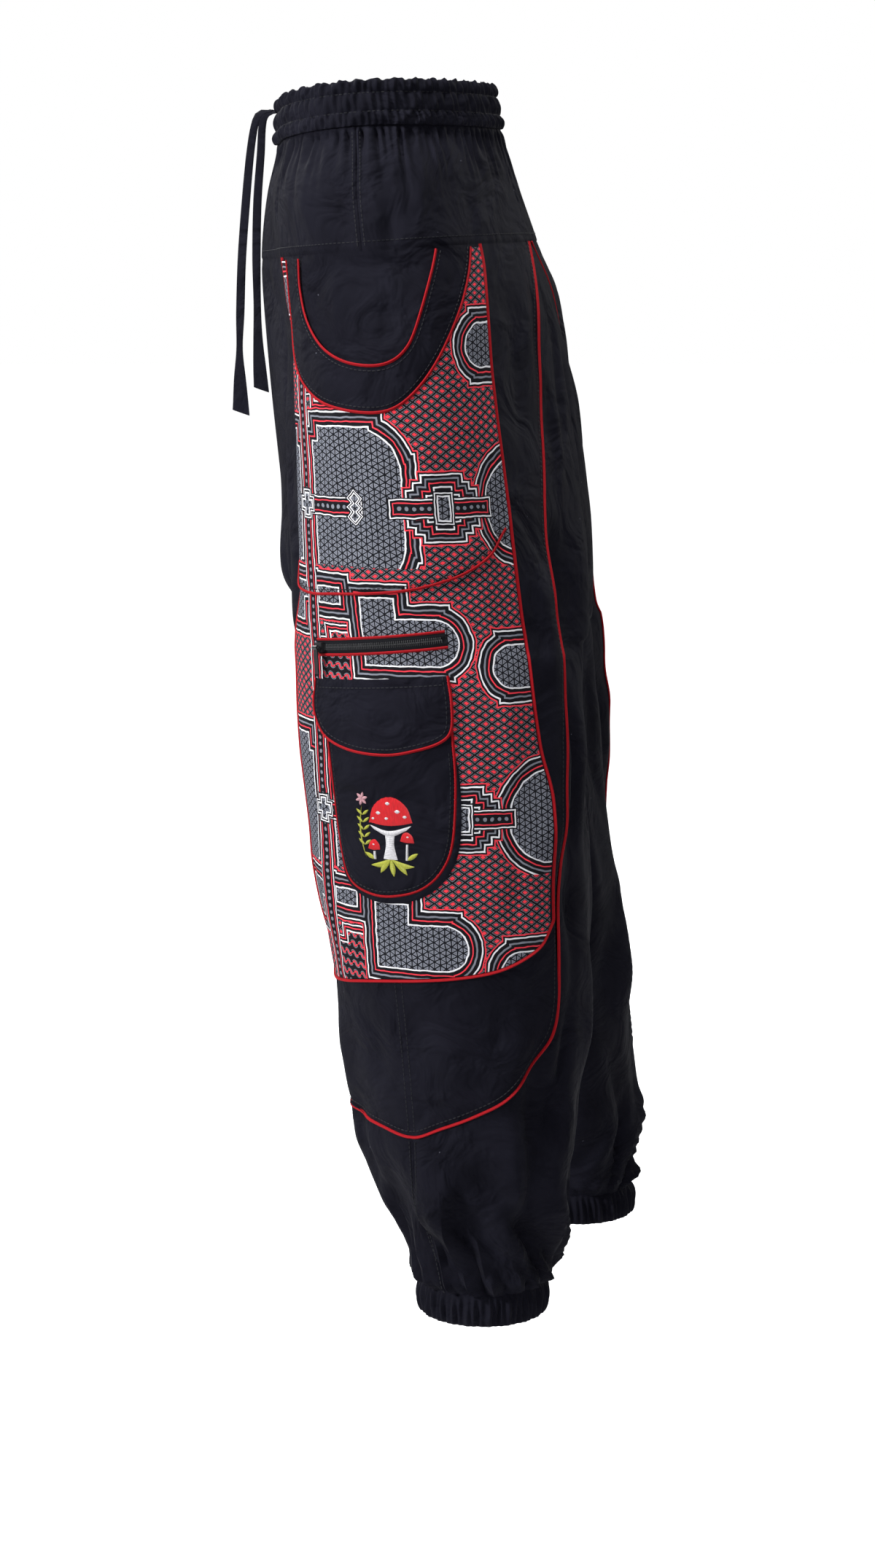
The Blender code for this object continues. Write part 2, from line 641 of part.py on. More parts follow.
def add_rows(edge, levels):
    """Add rows at more levels of an edge line, such as those where the rise curves round."""
    edge = sorted(edge, key=lambda place: -place[1])
    arcs, known = np.array(edge).T
    extra = [(float(np.interp(-level, -known, arcs)), level) for level in levels]
    return sorted([*map(tuple, edge), *extra], key=lambda place: -place[1])


def make_leg(name, edge, inner_levels, middle, inward, side):
    """A leg piece: each row runs from the rise or inseam to the edge of the side panel.

    The rows of front and back start at the same inner levels, so that they meet along the inseam,
    and the rows that the side panel lacks lie on straight lines between its own at their outer ends.
    """
    ends = np.array(edge)
    inner = np.array([(middle(level, side) + inward * HALF_GAP, level) for level in inner_levels])
    share = np.linspace(0, 1, PANEL_SEGMENTS + 1)
    arcs = inner[:, :1] + (ends[:, :1] - inner[:, :1]) * share
    levels = inner[:, 1:] + (ends[:, 1:] - inner[:, 1:]) * share
    outer = cloth_grid(arcs, levels, 0, side)
    inner_wall = cloth_grid(arcs, levels, -CLOTH, side)
    added = RISE_LEVELS + FRONT_EXTRA_LEVELS
    kept = [i for i, level in enumerate(ends[:, 1]) if level not in added]
    for grid in (outer, inner_wall):
        for axis in range(3):
            grid[:, -1, axis] = np.interp(-ends[:, 1], -ends[kept, 1], grid[kept, -1, axis])
    if inward < 0:
        outer, inner_wall = outer[:, ::-1], inner_wall[:, ::-1]
    wall(name, outer, inner_wall, "black_cotton", side)


# ---------------------------------------------------------------- pockets and piping

def piping(name, path, seat, side, surface=on_panel):
    """A bead of covered cord along a path of (arc, level) places."""
    half = PIPING_WIDTH / 2
    seat = np.broadcast_to(seat, len(path))
    lines = [(sideways(path, half), seat), (sideways(path, -half), seat), (path, seat + PIPING_HEIGHT)]
    bead(name, [[surface(arc, level, lift, side) for (arc, level), lift in zip(line, lifts)]
                for line, lifts in lines], side)


def bead(name, edges, side):
    """A three-sided bead lofted through its two lower edges, which lie on the cloth, and its crest."""
    vertices = np.stack([np.array(edge) for edge in edges], axis=1)
    count = len(edges[0])
    faces = []
    for i in range(count - 1):
        for j in range(3):
            k = (j + 1) % 3
            a, b = 3 * i + j, 3 * i + k
            faces.append((a, b + 3, b))
            faces.append((a, a + 3, b + 3))
    faces.append((0, 1, 2))
    last = 3 * (count - 1)
    faces.append((last + 2, last + 1, last))
    make_object(name, vertices, faces, "red_piping", side)


def between(first, second, shares):
    """A grid of (arc, level) places between two paths with the same number of points."""
    grid = np.array([first + (second - first) * share for share in shares])
    return grid[..., 0], grid[..., 1]


def make_round_pocket(tag, side):
    """Round-mouthed pocket: a black band round the mouth and a printed patch to the hem."""
    half = PIPING_WIDTH / 2 + SEAM_GAP
    count = 21
    mouth = smooth_outline(POCKET_MOUTH, count)
    edge = smooth_outline(POCKET_EDGE, count)
    arcs, levels = between(sideways(mouth, -half), sideways(edge, half), (0, 0.5, 1))
    overlay(f"pocket_band_{tag}", arcs, levels, POCKET_LIFT, "black_cotton", side)
    piping(f"pocket_mouth_piping_{tag}", mouth, POCKET_LIFT, side)
    piping(f"pocket_edge_piping_{tag}", edge, POCKET_LIFT, side)
    hem = smooth_outline(POCKET_HEM, 25)
    piping(f"pocket_hem_piping_{tag}", hem, ON_PRINT_SEAT, side)
    rim_top = POCKET_EDGE[0][1]
    front = [(FRONT_TABLE.at(level, "arc") + half, level)
             for level in np.linspace(rim_top, PATCH_FRONT_END, 5)]
    back = [(PRINT_TABLE.at(level, "arc") - half, level)
            for level in np.linspace(PATCH_BACK_END, rim_top, 5)]
    lower = sideways(hem, half + PATCH_HEM_GAP)
    around = smooth_outline(front + [tuple(p) for p in lower[3:-1:3]] + back, 31)
    upper = sideways(smooth_outline(POCKET_EDGE, 31), -half)
    arcs, levels = between(upper, around, np.linspace(0, 1, 6))
    overlay(f"pocket_patch_{tag}", arcs, levels, PATCH_LIFT, "printed_cotton", side)


def make_zip(tag, side):
    """Zip pocket: a tape between two rows of piping, with its slider and pull at the front end."""
    line = np.linspace(ZIP_LEFT, ZIP_RIGHT, 9)
    upper, lower = sideways(line, ZIP_HALF_HEIGHT), sideways(line, -ZIP_HALF_HEIGHT)
    arcs, levels = between(upper, lower, (0, 1))
    overlay(f"zip_tape_{tag}", arcs, levels, TAPE_LIFT, "zip_tape", side)
    out = ZIP_HALF_HEIGHT + PIPING_WIDTH / 2 + SEAM_GAP
    piping(f"zip_piping_upper_{tag}", sideways(line, out), ON_PRINT_SEAT, side)
    piping(f"zip_piping_lower_{tag}", sideways(line, -out), ON_PRINT_SEAT, side)
    frame = zip_frame(side)
    make_slider(f"zip_slider_{tag}", frame)
    make_pull(f"zip_pull_{tag}", frame)


def zip_frame(side):
    """Axes at the slider: along the chain, down the cloth, and out of it."""
    start, end = np.array(ZIP_LEFT), np.array(ZIP_RIGHT)
    place = start + (end - start) * SLIDER_SHARE
    ahead = start + (end - start) * CHAIN_SHARE
    origin = on_panel(*place, 0, side)
    along = unit(on_panel(*ahead, 0, side) - origin)
    out = on_panel(*place, 1, side) - origin
    out = unit(out - along * (out @ along))
    down = np.cross(out, along)
    if down[2] > 0:
        down = -down
    columns = [along, down, out]
    if side == RIGHT:
        columns = [axis * (-1, 1, 1) for axis in columns]
        origin = origin * (-1, 1, 1)
    if np.linalg.det(np.array(columns)) < 0:
        columns[0] = -columns[0]
    frame = Matrix(np.array(columns).T.tolist()).to_4x4()
    frame.translation = Vector(origin * MM)
    return frame


def make_box(name, size, centre, finish):
    """A box of a size about a centre, both in millimetres."""
    mesh = bpy.data.meshes.new(name)
    cube = bmesh.new()
    place = Matrix.Translation(Vector(centre) * MM) @ Matrix.Diagonal((*(Vector(size) * MM), 1))
    bmesh.ops.create_cube(cube, size=1, matrix=place)
    cube.to_mesh(mesh)
    cube.free()
    return dress(bpy.data.objects.new(name, mesh), finish)


def add_union(target, cutter):
    """Fuse one object into another for good and drop the second."""
    union = target.modifiers.new("union", "BOOLEAN")
    union.operation = "UNION"
    union.object = cutter
    graph = bpy.context.evaluated_depsgraph_get()
    mesh = bpy.data.meshes.new_from_object(target.evaluated_get(graph))
    target.modifiers.remove(union)
    target.data = mesh
    bpy.data.objects.remove(cutter)


def make_slider(name, frame):
    """Slider body with two posts and the bar that carries the pull."""
    body = (SLIDER_LENGTH, SLIDER_WIDTH, SLIDER_HIGH - SLIDER_LOW)
    slider = make_box(name, body, (0, 0, (SLIDER_LOW + SLIDER_HIGH) / 2), "zip_metal")
    post = (POST_LENGTH, 2 * BAR_RADIUS, BAR_LIFT + BAR_RADIUS - SLIDER_HIGH + POST_ROOT)
    post_place = (SLIDER_LENGTH - POST_LENGTH) / 2
    post_middle = BAR_LIFT + BAR_RADIUS - post[2] / 2
    bar = (SLIDER_LENGTH - POST_LENGTH, 2 * BAR_RADIUS, 2 * BAR_RADIUS)
    pieces = [make_box(f"{name}_post", post, (end * post_place, 0, post_middle), "zip_metal")
              for end in (-1, 1)]
    pieces.append(make_box(f"{name}_bar", bar, (0, 0, BAR_LIFT), "zip_metal"))
    bpy.context.view_layer.update()
    for piece in pieces:
        add_union(slider, piece)
    slider.matrix_world = frame


def make_pull(name, frame):
    """Pull: a leaf with a round eye about the slider's bar, as one outline drawn along the bar."""
    outer, inner = [], []
    half = PULL_THICKNESS / 2
    spread = math.asin(half / PULL_ROUND)
    for angle in np.linspace(spread, 2 * math.pi - spread, 13):
        outer.append((PULL_ROUND * math.cos(angle), PULL_ROUND * math.sin(angle)))
    outer += [(PULL_LENGTH, -half), (PULL_LENGTH, half)]
    for angle in np.linspace(0, 2 * math.pi, 12, endpoint=False):
        inner.append((PULL_EYE * math.cos(angle), -PULL_EYE * math.sin(angle)))
    curve = bpy.data.curves.new(name, "CURVE")
    curve.dimensions = "2D"
    curve.fill_mode = "BOTH"
    curve.extrude = PULL_WIDTH / 2 * MM
    for outline in (outer, inner):
        spline = curve.splines.new("POLY")
        spline.points.add(len(outline) - 1)
        spline.use_cyclic_u = True
        for place, (down, out) in zip(spline.points, outline):
            place.co = (down * MM, out * MM, 0, 1)
    pull = dress(bpy.data.objects.new(name, curve), "zip_metal")
    turn = Matrix(((0, 0, 1), (1, 0, 0), (0, 1, 0))).to_4x4()
    pull.matrix_world = frame @ Matrix.Translation((0, 0, BAR_LIFT * MM)) @ turn


def make_cargo_pocket(tag, side):
    """Cargo pocket with a rounded foot, and a flap that hangs over its mouth."""
    half = PIPING_WIDTH / 2 + SEAM_GAP
    outline = smooth_outline(CARGO_OUTLINE, 21)
    piping(f"cargo_piping_{tag}", outline[1:-1], ON_PRINT_SEAT, side)
    rim = sideways(outline, half)
    rim[0, 1] = rim[-1, 1] = CARGO_TOP - CARGO_RIM
    top = np.linspace(rim[0], rim[-1], len(rim)) + (0, CARGO_RIM)
    arcs, levels = between(top, rim, (0, 0.3, 0.65, 1))
    bulge = np.outer(CARGO_FULLNESS, np.sin(np.linspace(0, math.pi, len(rim))))
    overlay(f"cargo_pocket_{tag}", arcs, levels, POCKET_LIFT + bulge, "black_cotton", side)
    outline = smooth_outline(FLAP_OUTLINE, 19)
    rim = sideways(outline, half)
    top = np.linspace(outline[0] + (half, 0), outline[-1] - (half, 0), len(rim))
    arcs, levels = between(top, rim, (0, 0.5, 1))
    lift = np.full(arcs.shape, FLAP_LIFT)
    lift[0] = FLAP_ROOT_LIFT
    lift[1:, [0, -1]] = POCKET_LIFT
    overlay(f"cargo_flap_{tag}", arcs, levels, lift, "black_cotton", side)
    piping(f"flap_piping_{tag}", outline, FLAP_LIFT, side)


# ---------------------------------------------------------------- edge piping, cuffs, drawstring

def make_edge_piping(tag, side):
    """Piping round the print and round the side panel's back and lower edges."""
    arcs, levels = panel_lattice()
    seam = panel_seam(0)[:len(arcs) - 2:-1]
    seam[0, 1] -= SEAM_PIPING_DROP
    corner = np.abs(seam[:, 1] - seam[-3, 1]) < CORNER_REACH
    seat = np.where(corner, CORNER_PIPING_SEAT, SEAM_PIPING_SEAT)
    piping(f"panel_piping_{tag}", seam, seat, side, lifted)
    base = cloth_grid(arcs, levels, 0, side, split=False)
    raised = cloth_grid(arcs, levels, 1, side, split=False)
    outline = [(i, PRINT_COLUMN) for i in range(PRINT_ROWS + 1)]
    outline += [(PRINT_ROWS, j) for j in range(PRINT_COLUMN - 1, -1, -1)]
    outline += [(i, 0) for i in range(PRINT_ROWS - 1, -1, -1)]
    half = PIPING_WIDTH / 2
    edges = []
    for out, lift in ((SEAM_GAP + PIPING_WIDTH, PRINT_PIPING_SEAT), (SEAM_GAP, PRINT_PIPING_SEAT),
                      (SEAM_GAP + half, PRINT_PIPING_SEAT + PIPING_HEIGHT)):
        edge = []
        for i, j in outline:
            rise = FRONT_PIPING_RISE if j == 0 else 0.0
            place = base[i, j] + (raised[i, j] - base[i, j]) * (lift + rise)
            if j == PRINT_COLUMN:
                place = place + unit(base[i, j + 1] - base[i, j]) * out
            if j == 0:
                place = place - unit(base[i, 1] - base[i, 0]) * out
            if i == PRINT_ROWS:
                place = place + unit(base[i + 1, j] - base[i, j]) * out
            edge.append(place)
        edges.append(np.array(edge))
    bead(f"print_piping_{tag}", edges, side)


def make_cuff(tag, side):
    """Elastic cuff: a gathered ring with a puffed outside over a plain inside."""
    count = 2 * CUFF_GATHERS
    wave = gather_wave(count, CUFF_GATHER_DEPTH)
    outer, inner = [], []
    for level, puff in CUFF_PUFFS:
        start, end = front_middle(level, side), back_middle(level, side)
        arcs = np.linspace(start, end, count, endpoint=False) + CUFF_TURN
        outer.append([lifted(a, level, puff + w, side) for a, w in zip(arcs, wave)])
        inner.append([lifted(a, level, CUFF_INSIDE, side) for a in arcs])
    wall(f"cuff_{tag}", np.array(outer), np.array(inner), "black_cotton", side, ring=True)


def make_tie(name, points):
    """A flat tie along a hand-placed route, its width turned across the view from the side."""
    route = np.array([(p.x, p.y, p.z) for p in points], float)
    widths = np.array([p.width for p in points])
    along = np.gradient(route, axis=0)
    along /= np.linalg.norm(along, axis=1)[:, None]
    flat = np.array([0.35, 1.0, 0.0])
    flat = flat - along * (along @ flat)[:, None]
    flat /= np.linalg.norm(flat, axis=1)[:, None]
    face = np.cross(along, flat)
    middle = route + face * TIE_THICKNESS / 2
    edge = flat * widths[:, None] / 2
    sheet(name, np.stack([middle - edge, middle + edge], axis=1), TIE_THICKNESS, "black_cotton")


def build():
    for obj in list(bpy.data.objects):
        bpy.data.objects.remove(obj)
    collection = bpy.data.collections.new("harem_pants")
    bpy.context.scene.collection.children.link(collection)
    make_waistband()
    make_yoke()
    for tag, side in SIDES.items():
        make_side_panel(tag, side)
        make_leg_panels(tag, side)
        make_round_pocket(tag, side)
        make_zip(tag, side)
        make_cargo_pocket(tag, side)
        make_edge_piping(tag, side)
        make_cuff(tag, side)
    make_tie("drawstring_left", TIE_LEFT)
    make_tie("drawstring_right", TIE_RIGHT)


build()
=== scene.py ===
"""Harem pants, dressed: gathered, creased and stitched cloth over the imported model.

A place on the cloth is (arc, level) in millimetres: level is the height before the waist's tilt,
and arc is the distance round the leg from its side seam, positive towards the back. The left side
is worked out, and the right side is its mirror image with a stance and creases of its own.
"""
import math

import bpy
import numpy as np
from bpy.props import FloatProperty, FloatVectorProperty, PointerProperty
from bpy.types import Operator, Panel, PropertyGroup
from mathutils import Matrix, Vector


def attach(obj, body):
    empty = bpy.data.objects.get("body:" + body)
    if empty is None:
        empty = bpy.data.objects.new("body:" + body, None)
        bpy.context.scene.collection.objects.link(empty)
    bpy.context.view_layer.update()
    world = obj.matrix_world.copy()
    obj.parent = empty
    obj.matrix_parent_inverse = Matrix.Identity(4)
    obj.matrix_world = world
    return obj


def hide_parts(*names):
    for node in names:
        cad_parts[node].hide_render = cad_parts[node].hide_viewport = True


bl_info = {
    "name": "Harem Pants",
    "version": (1, 0, 0),
    "blender": (4, 5, 0),
    "location": "View3D > Sidebar > Pants",
    "description": "Dresses a pair of printed and piped harem pants",
    "category": "Add Mesh",
}

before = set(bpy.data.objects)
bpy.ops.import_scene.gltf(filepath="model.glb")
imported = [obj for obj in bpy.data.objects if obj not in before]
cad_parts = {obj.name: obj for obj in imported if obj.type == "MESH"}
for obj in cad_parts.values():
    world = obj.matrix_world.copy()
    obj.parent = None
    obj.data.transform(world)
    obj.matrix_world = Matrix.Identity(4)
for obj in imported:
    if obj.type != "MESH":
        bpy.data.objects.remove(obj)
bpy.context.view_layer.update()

MM = 0.001
MIRROR = np.array([-1, 1, 1])
SIDES = ("left", "right")
BODY = "garment"
# Millimetres on the cloth for one unit of the cut map
CUT_MAP = 100.0

# Heights
WAIST_TOP, WAIST_BOTTOM = 18.0, -18.0
YOKE_SEAM = -114.0
CROTCH = -430.0
CALF = -690.0
CUFF_TOP, HEM = -957.0, -981.0
# Where the side panel's and the print's front and back edges meet their hems
PANEL_FRONT, PANEL_BACK = -765.0, -700.0
PRINT_FRONT, PRINT_REAR = -688.0, -640.0
# The print's hidden top, and the side seam's top below the side panel
PRINT_TOP, SIDE_SEAM_TOP = -288.0, -819.2
WAIST_LEAN = math.tan(math.radians(3.8))

# How far each layer's outside stands off the worn surface
PANEL_LIFT = 0.0
PRINT_LIFT = 0.9
BAND_LIFT = 2.2
PATCH_LIFT = 1.8
TAPE_LIFT = 1.6
CARGO_LIFT = 2.0
FLAP_LIFT = 4.2

# level, centre x, centre y, half x, half y, front pull, back pull, seam turn, right step
SECTIONS = [
    (-995, 138.0, 111.5, 50.0, 51.0, 0, 0, -16, 24),
    (-957, 138.0, 111.5, 50.0, 51.5, 0, 0, -18, 21),
    (-925, 137.5, 110.5, 58.5, 64.0, 0, 0, -25, 10),
    (-890, 135.5, 106.0, 69.5, 77.0, 0, 0, -27, 4),
    (-850, 133.0, 101.0, 75.0, 85.5, 0, 0, -22, -2),
    (-800, 130.5, 97.0, 79.5, 92.5, 0, 0, -19, -8),
    (-740, 128.0, 93.0, 83.0, 100.0, 0, 0, -18, -14),
    (-680, 125.0, 88.0, 87.0, 106.5, 0, 0, -17, -20),
    (-600, 121.0, 79.5, 92.0, 113.0, 0, 0, -13, -25),
    (-500, 115.0, 69.5, 97.0, 116.5, 0, 0, -9, -27),
    (-430, 104.0, 63.0, 103.8, 116.0, 0, 0, -8, -24),
    (-425, 99.0, 61.5, 109.0, 115.5, 20, 12, -7.5, -24),
    (-410, 92.0, 58.0, 116.0, 114.5, 44, 22, -6.5, -22),
    (-378, 80.0, 54.0, 127.0, 113.0, 57, 24, -6.5, -18),
    (-300, 54.0, 44.0, 148.0, 109.0, 43, 12, -5.5, -8),
    (-212, 24.0, 32.0, 168.0, 106.0, 36, 5, -3.8, 0),
    (-160, 8.0, 26.0, 174.0, 105.0, 34, 2, -2, 0),
    (-113, 0.0, 14.0, 167.0, 103.0, 26, 0, 2.5, 0),
    (-60, 0.0, 2.0, 147.0, 98.0, 14, 0, 4, 0),
    (-18, 0.0, -1.0, 117.0, 89.0, 11, 0, 1, 0),
    (20, 0.0, -4.0, 110.0, 84.0, 10, 0, 1, 0),
]

# The folds that the solids have too: top, bottom, arc at the top, arc at the bottom, width, depth
FOLDS = [
    (-140, -430, -112, -122, 18, -7), (-330, -620, 162, 130, 20, 6), (-320, -680, 194, 162, 21, -11),
    (-150, -560, 236, 214, 20, 6), (-240, -560, -205, -190, 24, -9), (-330, -700, -250, -226, 22, 7),
    (-420, -760, 262, 232, 24, 7), (-700, -950, 120, 92, 11, -6), (-760, -953, 150, 116, 11, 5),
    (-840, -953, 40, 74, 10, -5), (-850, -953, 12, 42, 10, 4.5), (-850, -953, -30, -14, 11, -4.5),
    (-690, -940, -92, -62, 15, 4.5), (-780, -950, -150, -100, 15, -5.5), (-800, -953, 200, 146, 14, -6),
    (-60, -135, 26, 24, 7, -4), (-40, -116, -14, -6, 7, -2.5), (-30, -116, 60, 44, 8, 3),
    (-50, -135, 104, 108, 9, -3), (-36, -116, -60, -40, 8, 2.5),
]
FOLD_EASE = 60.0
CREASE_DEPTH = 2.0
# Threads and their slubs as drawn, topstitching from a seam's middle, and in metres the piping's profile
THREAD_PITCH, SLUB = 1.0, 2.2
SEAM_STITCH = 2.9
PROFILE_WIDTH = 0.0028
# A piece that covers less of its rectangle than this is sized as a strip
STRIP_SHARE = 0.32
# Topstitched runs beside the side seam: top, bottom, lift
SEAM_RUNS = ((-688, -814, PANEL_LIFT), (-822, CUFF_TOP + 8, -0.1))

# Small creases: from (arc, level) to (arc, level), half width, depth; a ridge is positive
CREASES = [
    (-60, -828, -8, -930, 12, -3.0), (-84, -800, -34, -900, 13, 2.4), (62, -822, 30, -925, 12, -3.0),
    (96, -790, 58, -905, 13, 2.6), (20, -835, 14, -915, 11, 2.2), (118, -740, 88, -870, 12, -2.4),
    (150, -700, 128, -790, 5, -2.2), (128, -770, 104, -862, 6, -2.6), (112, -800, 118, -905, 5, 2.0),
    (60, -845, 96, -930, 5, -2.4), (40, -850, 66, -925, 5, 2.0), (20, -868, 44, -948, 4, -2.0),
    (-6, -880, 10, -950, 4, -1.8), (-26, -870, -22, -948, 4, 1.6), (-48, -850, -40, -945, 5, -2.2),
    (-70, -790, -62, -900, 6, -1.8), (-95, -720, -84, -840, 7, 0.9), (-110, -800, -84, -930, 6, -2.4),
    (-130, -700, -116, -820, 7, -1.6), (-160, -820, -128, -940, 6, 2.0), (90, -880, 104, -950, 4, -2.2),
    (130, -860, 122, -945, 5, 1.8), (160, -840, 140, -940, 5, -2.2), (-140, -880, -112, -950, 5, -2.0),
    (-190, -850, -150, -945, 6, 2.2), (185, -880, 160, -950, 5, 2.0),
    (150, -460, 142, -600, 7, 2.0), (178, -300, 168, -450, 8, -2.4), (205, -200, 196, -330, 8, 2.2),
    (222, -150, 214, -290, 7, -2.2), (246, -190, 236, -340, 9, 2.4), (262, -150, 252, -300, 8, -2.0),
    (190, -430, 176, -620, 9, 2.4), (214, -420, 196, -640, 10, -2.6), (236, -520, 218, -700, 9, 2.2),
    (160, -600, 146, -730, 8, -2.0), (186, -640, 166, -800, 9, 2.2), (210, -680, 186, -830, 9, -2.4),
    (-140, -300, -150, -520, 9, -2.2), (-160, -180, -168, -380, 9, 2.0), (-186, -140, -196, -330, 9, -2.2),
    (-214, -260, -222, -420, 8, 2.2), (-240, -330, -232, -470, 7, -2.2), (-262, -360, -238, -460, 6, 2.0),
    (-136, -540, -132, -720, 9, 2.0), (-176, -560, -160, -760, 10, -2.4), (-206, -600, -186, -800, 9, 2.0),
    (-226, -440, -214, -620, 9, -2.2), (-250, -460, -236, -640, 9, 2.0),
    (84, -690, 70, -760, 8, -1.2), (30, -700, 44, -790, 9, 1.0), (-40, -705, -30, -790, 8, -1.0),
    (-20, -210, -24, -370, 12, -1.0), (40, -240, 36, -380, 11, 1.0), (92, -240, 98, -420, 9, -1.2),
    (86, -420, 94, -560, 8, 1.0), (98, -560, 92, -660, 8, -1.2), (-84, -560, -80, -680, 8, 1.2),
    (16, -125, 14, -195, 6, -1.2), (-30, -120, -26, -190, 7, 1.0), (76, -130, 58, -205, 7, -0.8),
    (-78, -140, -60, -215, 7, 0.7), (140, -130, 142, -300, 8, -1.4), (164, -120, 168, -260, 8, 1.4),
    (186, -125, 188, -230, 6, -1.4), (134, -330, 140, -470, 7, 1.2),
]

# Edges of the side panel and its print: (level, arc)
FRONT_EDGE = [(-765, -115), (-600, -118), (-400, -119), (-212, -112), (-114, -104)]
PRINT_BACK = [(-700, 134), (-640, 133.5), (-546, 131), (-498, 122), (-427, 117), (-323, 118), (-221, 115),
              (-114, 109)]
BACK_EDGE = [(-700, 136.5), (-600, 144.5), (-450, 153), (-354, 165), (-267, 184), (-196, 199), (-114, 206)]
# Lower edges: the print's (arc, level) and the side panel's (arc, level), front to back
PRINT_HEM = [(-116, -691), (-92, -699), (-64, -697), (-36, -692), (-10, -688), (18, -685), (50, -681.5),
             (82, -676), (106, -667), (122, -657), (131, -643)]
PANEL_HEM = [(-115, -765), (-112, -781), (-104, -792), (-84, -806), (-58, -812), (-30, -815.5), (0, -819),
             (27, -808.5), (54, -797.5), (82, -784), (106, -763), (124, -742), (131, -728), (134.5, -714),
             (136.5, -700)]

POCKET_MOUTH = [(-64, -117), (-66, -142), (-57, -166), (-37, -187), (-10, -200), (18, -202),
                (36, -190), (47, -163), (55, -136), (60, -117)]
POCKET_EDGE = [(-88, -117), (-92, -150), (-90, -180), (-74, -208), (-44, -228), (-8, -237), (22, -236),
               (46, -219), (68, -190), (84, -160), (92, -137), (96, -117)]
POCKET_HEM = [(-112, -361), (-100, -378), (-70, -382), (-40, -380), (-11, -378), (20, -375), (45, -370),
              (73, -361), (97, -347), (113, -329)]
ZIP_LEFT, ZIP_RIGHT = (-65, -424.5), (51, -412.5)
FLAP_OUTLINE = [(-71, -450), (-73, -466), (-69, -482), (-58, -495), (-33, -503), (-2, -504.5),
                (22, -500), (42, -493), (51, -483), (52, -462), (50, -441)]
CARGO_OUTLINE = [(-60, -478), (-58, -500), (-54, -540), (-48, -590), (-39, -611), (-17, -619), (4, -618),
                 (25, -611), (41, -596), (50, -573), (53, -529), (52, -494), (51, -478)]

# Drawstring routes, in millimetres: x, y, z, width
TIES = {
    "left": [(7, -102.3, 1, 8), (8, -112.5, -1, 8), (9, -117, -10, 8), (10, -121, -34, 8.5),
             (11, -125, -74, 9), (11, -129, -120, 9), (11, -131, -165, 9), (11, -132, -196, 7),
             (11, -132, -222, 13), (12, -131, -250, 18)],
    "right": [(-7, -100.8, 1, 8), (-8, -112, -1, 8), (-9, -116, -10, 8), (-10, -118, -34, 8.5),
              (-12, -122, -74, 9), (-14, -124, -120, 9), (-15, -124, -160, 8), (-16, -124, -188, 10),
              (-17, -123, -214, 14), (-18, -122, -232, 16)],
}


# ------------------------------------------------------------------ the worn surface

def smoothstep(value):
    """A share eased at both ends: three times its square, less twice its cube."""
    value = np.clip(value, 0.0, 1.0)
    return value * value * (3 - 2 * value)


def bell(distance, width):
    """1 on a line, and almost nothing at twice the width from it."""
    return np.exp(-(distance / width) ** 2)


def unit(vectors):
    """Vectors divided by their lengths."""
    return vectors / np.maximum(np.linalg.norm(vectors, axis=-1, keepdims=True), 1e-9)


def stacked(*parts):
    """Coordinates from their separate arrays or numbers, brought to one shape."""
    return np.stack(np.broadcast_arrays(*parts), axis=-1)


def read_table(rows, column, places):
    """A table's column as a smooth function: a cubic through its rows that never overshoots them."""
    ordered = np.array(sorted(rows), float)
    x, y = ordered[:, 0], ordered[:, column]
    steps = np.diff(x)
    rises = np.diff(y) / steps
    near, far = 2 * steps[1:] + steps[:-1], steps[1:] + 2 * steps[:-1]
    together = rises[:-1] * rises[1:] > 0
    before, after = np.where(together, rises[:-1], 1.0), np.where(together, rises[1:], 1.0)
    inner = np.where(together, (near + far) / (near / before + far / after), 0.0)
    slopes = np.concatenate([rises[:1], inner, rises[-1:]])
    place = np.clip(places, x[0], x[-1])
    i = np.clip(np.searchsorted(x, place) - 1, 0, len(x) - 2)
    t = (place - x[i]) / steps[i]
    return ((1 + 2 * t) * (1 - t) ** 2 * y[i] + t * (1 - t) ** 2 * steps[i] * slopes[i]
            + t * t * (3 - 2 * t) * y[i + 1] + t * t * (t - 1) * steps[i] * slopes[i + 1])


